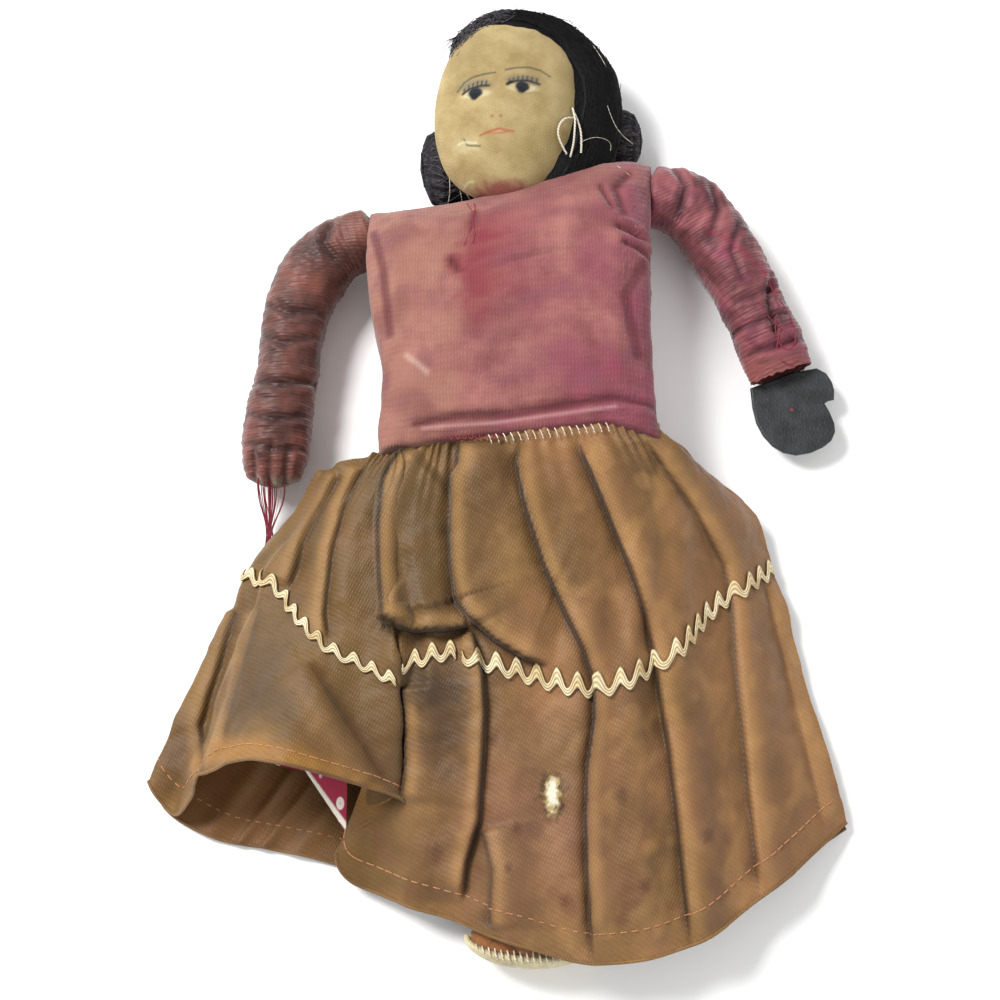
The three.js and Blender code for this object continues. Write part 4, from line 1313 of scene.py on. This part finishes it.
# Painted light along each fold: painted shadow on the lower side, a dark line of painted shade in the gap
# at the edge, a painted highlight along the raised edge and painted shade on the raised cloth's far slope.
for line, top_side, height, _, _, softness in PLEATS:
    past, ends = beside(p, line, top_side)
    on_top = ease(-0.4, 0.4, past)
    strong = min(1, height / 2.4)
    dye_and_shade.lay("#40290f", 0.6 * ends * np.exp(-np.abs(past) / (2.2 + softness)) * (1 - on_top) * strong)
    dye_and_shade.lay(
        "#1c0f06",
        (1.05 - 0.4 * softness) * ends * np.exp(-(((past + 0.5) / (0.5 + 0.2 * softness)) ** 2)) * strong,
    )
    dye_and_shade.lay("#c2935a", 0.4 * ends * np.exp(-(((past - 1.0 - softness) / (0.8 + softness)) ** 2)) * on_top)
    dye_and_shade.lay("#4e3416", 0.3 * ends * np.exp(-(((past - 8) / 4) ** 2)) * on_top)
# painted shade on the slope beside the tunnel's crest
dye_and_shade.line("#4a2f12", [(-50, -60), (-43, -69), (-36, -79), (-31, -86)], 7, 0.55, 3.0)
dye_and_shade.spot("#3f2c14", (-62, -62), (9, 13), 0.6, 0.9, 0.5)
# painted highlight along the tunnel's lifted hem
dye_and_shade.line("#b07c34", [(-73, -79), (-60, -80), (-46, -84.5), (-33, -90)], 7, 0.6, 2.6)
dye_and_shade.spot("#3c2c1c", (-18, -62), (7, 5.5), 0.75, 0.9, 0.5)
dye_and_shade.spot("#463422", (-14, -72), (6, 9), 0.55, 0.9, 0.6)
dye_and_shade.spot("#4a3420", (9, -88), (6, 14), 0.35, 0.9, 0.6)
for x, y, size in (
    (-2, -76, 1.4), (4, -98, 1.2), (30, -90, 1.5), (16, -116, 1.3), (-16, -104, 1.6), (52, -100, 1.4),
    (2, -108, 1.0), (36, -112, 1.2),
):
    dye_and_shade.spot("#5a341c", (x, y), (size, size * 1.2), 0.6, 0.8, 0.6)
dye_and_shade.spot("#4a3014", (13.2, -90.2), (3.0, 5.8), 0.9, 0.3, 0.5)
dye_and_shade.spot("#bfa468", (13.2, -90.0), (2.0, 4.4), 1.0, 0.2, 0.6)
dye_and_shade.spot("#f2ecd4", (13.0, -89.6), (1.3, 3.4), 1.0, 0.3, 0.6)
dye_and_shade.fix()

WAIST_X = 5.7
WAIST_SLOPE = 0.094
BACK_BRAID = [(-67.1, -30.5, 1.2), (-35, -50, 1.2), (0, -57, 1.2), (36, -53, 1.2), (73, -28.6, 1.2)]
BACK_HEM = [
    (-91, -85.2, 0.8), (-85.5, -92.9, 0.6), (-73.5, -99, 0.6), (-60, -101.5, 0.6), (-44, -105, 0.6),
    (-18, -113, 0.6), (5, -119, 0.6), (36, -121.5, 0.6), (64, -112.5, 0.6), (89.9, -96.4, 0.8),
]


def back_point(u, v):
    angle = math.pi * (1.03 + 0.94 * u)
    across, up = squared(np.cos(angle), 0.45), squared(np.sin(angle), 0.45)
    waist = np.column_stack(
        [WAIST_X + 38.5 * across * 0.995, 2.2 + 38.5 * across * WAIST_SLOPE, TRUNK_HALF + 14.6 * up]
    )
    braid, hem = smooth_path(BACK_BRAID, u), smooth_path(BACK_HEM, u)
    t = np.clip(v / BRAID_AT, 0, 1)[:, None]
    upper = waist * (1 - t) + braid * t
    upper[:, 2] = waist[:, 2] + (braid[:, 2] - waist[:, 2]) * (t * (2 - t))[:, 0]
    s = np.clip((v - BRAID_AT) / (1 - BRAID_AT), 0, 1)[:, None]
    return np.where(v[:, None] < BRAID_AT, upper, braid * (1 - s) + hem * s)


def back_cloth(u, v):
    points = back_point(u, v)
    ripple = 0.5 + 0.5 * np.sin(u * 2 * math.pi * 13 + 2 * np.sin(u * 21) + 0.6 * np.sin(v * 5))
    points[:, 2] += (1.1 * ripple ** 2 + 0.3 * blur(points, 9, 41) + 0.4) * ease(0, 0.15, v)
    points[:, 2] = np.maximum(points[:, 2], 0.25)
    return points


back = sheet_mesh("sateen_back", 260, 130, back_cloth, sateen)
dye_and_shade = DyeAndShade(back)
p = dye_and_shade.points
dye_and_shade.lay("#8c6230", 0.6 * ease(-0.2, 0.6, blur(p, 20, 42)))
dye_and_shade.lay("#7a4c1e", 0.6 * (1 - ease(-60, -20, p[:, 0])))
dye_and_shade.lay("#5f3f1c", 0.3 * ease(0.0, 0.8, blur(p, 12, 43)))
dye_and_shade.fix()


def hem_roll(name, surface_point):
    """The turned edge at the hem, 0.9 mm thick."""
    run = surface_point(np.linspace(0, 1, 240), np.ones(240))
    run[:, 2] = np.maximum(run[:, 2], 0.45)
    roll = threads(name, [run], 0.45, sateen, "skirt", "sateen", 3)
    DyeAndShade(roll).fix()
    return roll


front_roll = hem_roll("sateen_front_hem", front_cloth)
back_roll = hem_roll("sateen_back_hem", back_cloth)


SAMPLES = 1600  # places measured along a cloth


def along_cloth(surface_point, v, gap, start=0.0, end=1.0):
    """Places u evenly spaced along a cloth at a height v, in millimetres, and their spacing."""
    u = np.linspace(start, end, SAMPLES)
    length = lengths_along(surface_point(u, np.full(SAMPLES, v)))
    return np.interp(np.arange(0, length[-1], gap), length, u), length[-1]


def running_stitches(name, surface_point, bare_point, v):
    """Stitches 1.9 mm long, 2.9 mm apart, along a cloth at a height v."""
    places, length = along_cloth(surface_point, v, 2.9)
    runs = []
    for u in places[:-1]:
        near = np.clip([u, u + 1.9 / length * 0.5, u + 1.9 / length], 0, 1)
        out = cloth_normal(bare_point, near, np.full(3, v))
        runs.append(surface_point(near, np.full(3, v)) + out * np.array([0.0, 0.25, 0.0])[:, None])
    threads(name, runs, 0.17, pink_thread, "skirt", "thread")


pink_thread, tree, place = finish_of("faded_pink_sewing_thread")
colour = two_tones(tree, place, 0.8, "#96603c", "#c08a62")
add(
    tree, "OutputMaterial",
    {"Surface": add(tree, "BsdfPrincipled", {"Base Color": colour, "Roughness": 0.7})},
)
running_stitches("front_hem_stitches", front_cloth, front_point, 0.945)
running_stitches("back_hem_stitches", back_cloth, back_point, 0.94)

# ---- Petticoat ----
# Thin printed calico inside the skirt, crimson with white ovals and a white edge. Its corner hangs
# out of the tunnel.

calico, tree, place = finish_of("printed_calico")
# ovals about 3.5 mm long, in staggered rows
wide = add(tree, "Mapping", {"Vector": place, "Scale": (1.0, 0.6, 0.4), "Rotation": (0, 0, 0.7)})
cells = add(tree, "TexVoronoi", {"Vector": wide, "Scale": 1 / (3.4 * MM), "Randomness": 0.35}, feature="F1")
ring = add(tree, "Math", {0: cells.outputs["Distance"], 1: 0.3}, operation="SUBTRACT")
ring = add(tree, "Math", {0: ring}, operation="ABSOLUTE")
ring = add(
    tree, "MapRange", {"Value": ring, "From Min": 0.05, "From Max": 0.09, "To Min": 1.0, "To Max": 0.0},
)
print_colour = add(tree, "Mix", {"Factor": ring, 6: "#a02844", 7: "#efe2d8"}, data_type="RGBA")
dye_and_shade = add(tree, "Attribute", attribute_name="dye_and_shade")
shown = add(
    tree, "Mix", {"Factor": dye_and_shade.outputs["Alpha"], 6: print_colour, 7: dye_and_shade.outputs["Color"]},
    data_type="RGBA",
)
warp = add(tree, "TexWave", {"Vector": place, "Scale": math.pi / 10 / (0.5 * MM)})
bump = add(tree, "Bump", {"Height": warp.outputs["Fac"], "Distance": 0.00008})
add(
    tree, "OutputMaterial",
    {"Surface": add(tree, "BsdfPrincipled", {"Base Color": shown, "Roughness": 0.85, "Normal": bump})},
)


def lining_point(surface_point, depth, hem, first):
    def place(u, v):
        a, b = first + (0.92 - first) * u, 0.24 + (hem - 0.24) * v
        return surface_point(a, b) - cloth_normal(surface_point, a, b) * depth
    return place


def front_lining(u, v):
    points = lining_point(front_point, 2.6, 0.88, SHARE[13])(u, v)
    points[:, 2] += 0.25 * blur(points, 7, 51)
    return points


def back_lining(u, v):
    points = lining_point(back_point, -2.9, 0.8, 0.1)(u, v)
    points[:, 2] = np.maximum(points[:, 2], 1.9) + 0.4 * (1 + np.sin(u * 60)) * 0.5
    return points


petticoat_front = sheet_mesh("calico_front", 200, 90, front_lining, calico)
petticoat_back = sheet_mesh("calico_back", 140, 70, back_lining, calico)
CORNER = [(-50.5, -82, 13), (-39, -82.5, 14), (-39.5, -96.5, 8.5)]


def corner_point(u, v):
    a, b, c = (np.array(point, float) for point in CORNER)
    across = a + (b - a) * u[:, None]
    points = across * (1 - v[:, None]) + (c + (b - c) * 0.2 * (u[:, None] - 0.5)) * v[:, None]
    points[:, 2] += 1.2 * np.sin(u * math.pi) * (1 - v)
    return points


corner = sheet_mesh("calico_corner", 30, 40, corner_point, calico)
dye_and_shade = DyeAndShade(corner)
dye_and_shade.line("#f0e8da", [CORNER[0], CORNER[2]], 1.3, 1.0, 0.3)
dye_and_shade.fix()
for piece, node in ((petticoat_front, "petticoat_front"), (petticoat_back, "petticoat_back")):
    DyeAndShade(piece).fix()
    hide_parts(node)
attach(corner, "skirt")

# ---- Waistband ----
# A narrow muslin band that the skirt is gathered on, tacked under the blouse's hem with cream and
# red thread that shows along the join.


def band_point(u, v):
    angle = u * 2 * math.pi + math.pi
    across, up = squared(np.cos(angle), 0.45), squared(np.sin(angle), 0.45)
    y = 4.4 - 3.6 * v
    x = WAIST_X + 36.8 * across
    return np.column_stack(
        [x, y + (x - WAIST_X) * WAIST_SLOPE, TRUNK_HALF + (11.4 - 0.8 * np.abs(v - 0.5)) * up]
    )


band = sheet_mesh("muslin_waistband", 160, 8, band_point, neck_muslin)
DyeAndShade(band).fix()
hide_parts("waistband")

random.seed(SEED + 2)
cream_runs, red_runs = [], []
for i in range(17):
    x = -3 + i * 1.9
    y = 0.9 + 0.11 * (x + 3)
    cream_runs.append([(x, y + 0.9, 30.4), (x + 0.5, y, 31.3), (x + 0.9, y - 1.3, 30.2)])
for i in range(9):
    x = -15 + i * 1.7
    red_runs.append([(x, 1.6, 29.9), (x + 0.6, 0.4, 31), (x + 1.4, 0.9, 30.8), (x + 1.2, 2, 30)])
threads("waist_cream_stitches", cream_runs, 0.16, string_finish, "trunk", "string")
threads("waist_red_loops", red_runs, 0.16, red_thread, "trunk", "thread")

# ---- Rickrack ----
# Cream woven zigzag braid, 5 mm over its points with a wave every 6 mm, sewn flat round the skirt.

braid_finish, tree, place = finish_of("cream_cotton_braid")
lane = add(tree, "Attribute", attribute_name="lane")
# three cords lie side by side in the braid
cords = add(tree, "Math", {0: lane.outputs["Fac"], 1: 3 * math.pi}, operation="MULTIPLY")
cords = add(tree, "Math", {0: cords}, operation="SINE")
cords = add(tree, "Math", {0: cords}, operation="ABSOLUTE")
colour = two_tones(tree, place, 7, "#d0b583", "#efdfb8", 0.35, 0.65, 5.0)
shade = add(tree, "MapRange", {"Value": cords, "To Min": 0.62, "To Max": 1.0})
colour = add(tree, "Mix", {"Factor": 1.0, 6: colour, 7: shade}, data_type="RGBA", blend_type="MULTIPLY")
bump = add(tree, "Bump", {"Height": cords, "Distance": 0.0003})
add(
    tree, "OutputMaterial",
    {"Surface": add(tree, "BsdfPrincipled", {"Base Color": colour, "Roughness": 0.85, "Normal": bump})},
)
BRAID_PITCH = 6.0
BRAID_SWING = 1.3
BRAID_HALF = 1.2
SKIRT_DROP = 118  # millimetres from waist to hem, near enough


def lay_braid(name, surface_point, bare_point, start, end, lift, node):
    _, length = along_cloth(surface_point, BRAID_AT, 1.0, start, end)
    waves = round(length / BRAID_PITCH)
    u_fine = np.linspace(start, end, SAMPLES)
    gone = lengths_along(bare_point(u_fine, np.full(SAMPLES, BRAID_AT)))

    def braid_point(s, w):
        u = np.interp(s * gone[-1], gone, u_fine)
        swing = BRAID_SWING * np.sin(s * waves * 2 * math.pi)
        lane_of = (w - 0.5) * 2 * BRAID_HALF
        v = BRAID_AT + (swing + lane_of) / SKIRT_DROP
        at = surface_point(u, v)
        out = cloth_normal(bare_point, u, np.full(len(u), BRAID_AT))
        crown = 1 - (2 * w - 1) ** 2
        return at + out * (lift + 0.35 * np.sign(lift) * crown)[:, None]

    steps, lanes = waves * 20, 6
    braid = sheet_mesh(name, steps, lanes, braid_point, braid_finish)
    lane_of = (1 - np.arange(len(braid.data.vertices)) // (steps + 1) / lanes).astype(np.float32)
    paint = braid.data.attributes.new("lane", "FLOAT", "POINT")
    paint.data.foreach_set("value", lane_of)
    thick = braid.modifiers.new("thickness", "SOLIDIFY")
    thick.thickness = 0.35 * MM
    thick.offset = 0
    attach(braid, "skirt")
    if node:
        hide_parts(node)
    return braid


# the front's braid is in three runs whose ends don't quite meet at the folds
flap_start, flap_end = SHARE[11] - 0.004, SHARE[13] + 0.012
front_braid = lay_braid(
    "rickrack_on_front", front_cloth, front_point, flap_end + 0.014, 0.995, 0.45, "rickrack_front",
)
flap_braid = lay_braid("rickrack_on_flap", front_cloth, front_point, flap_start, flap_end, 0.45, None)
side_braid = lay_braid("rickrack_on_tunnel", front_cloth, front_point, 0.005, SHARE[8] - 0.002, 0.45, None)
back_braid = lay_braid("rickrack_on_back", back_cloth, back_point, 0.06, 0.94, -0.3, "rickrack_back")

# ---- Putting the skirt in place ----
# The skirt's cloth, waistband and petticoat keep their places as built, in place of the plain skirt solids.

for piece in (front, back, band, petticoat_front, petticoat_back):
    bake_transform(piece)
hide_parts("skirt_front")
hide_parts("skirt_back")
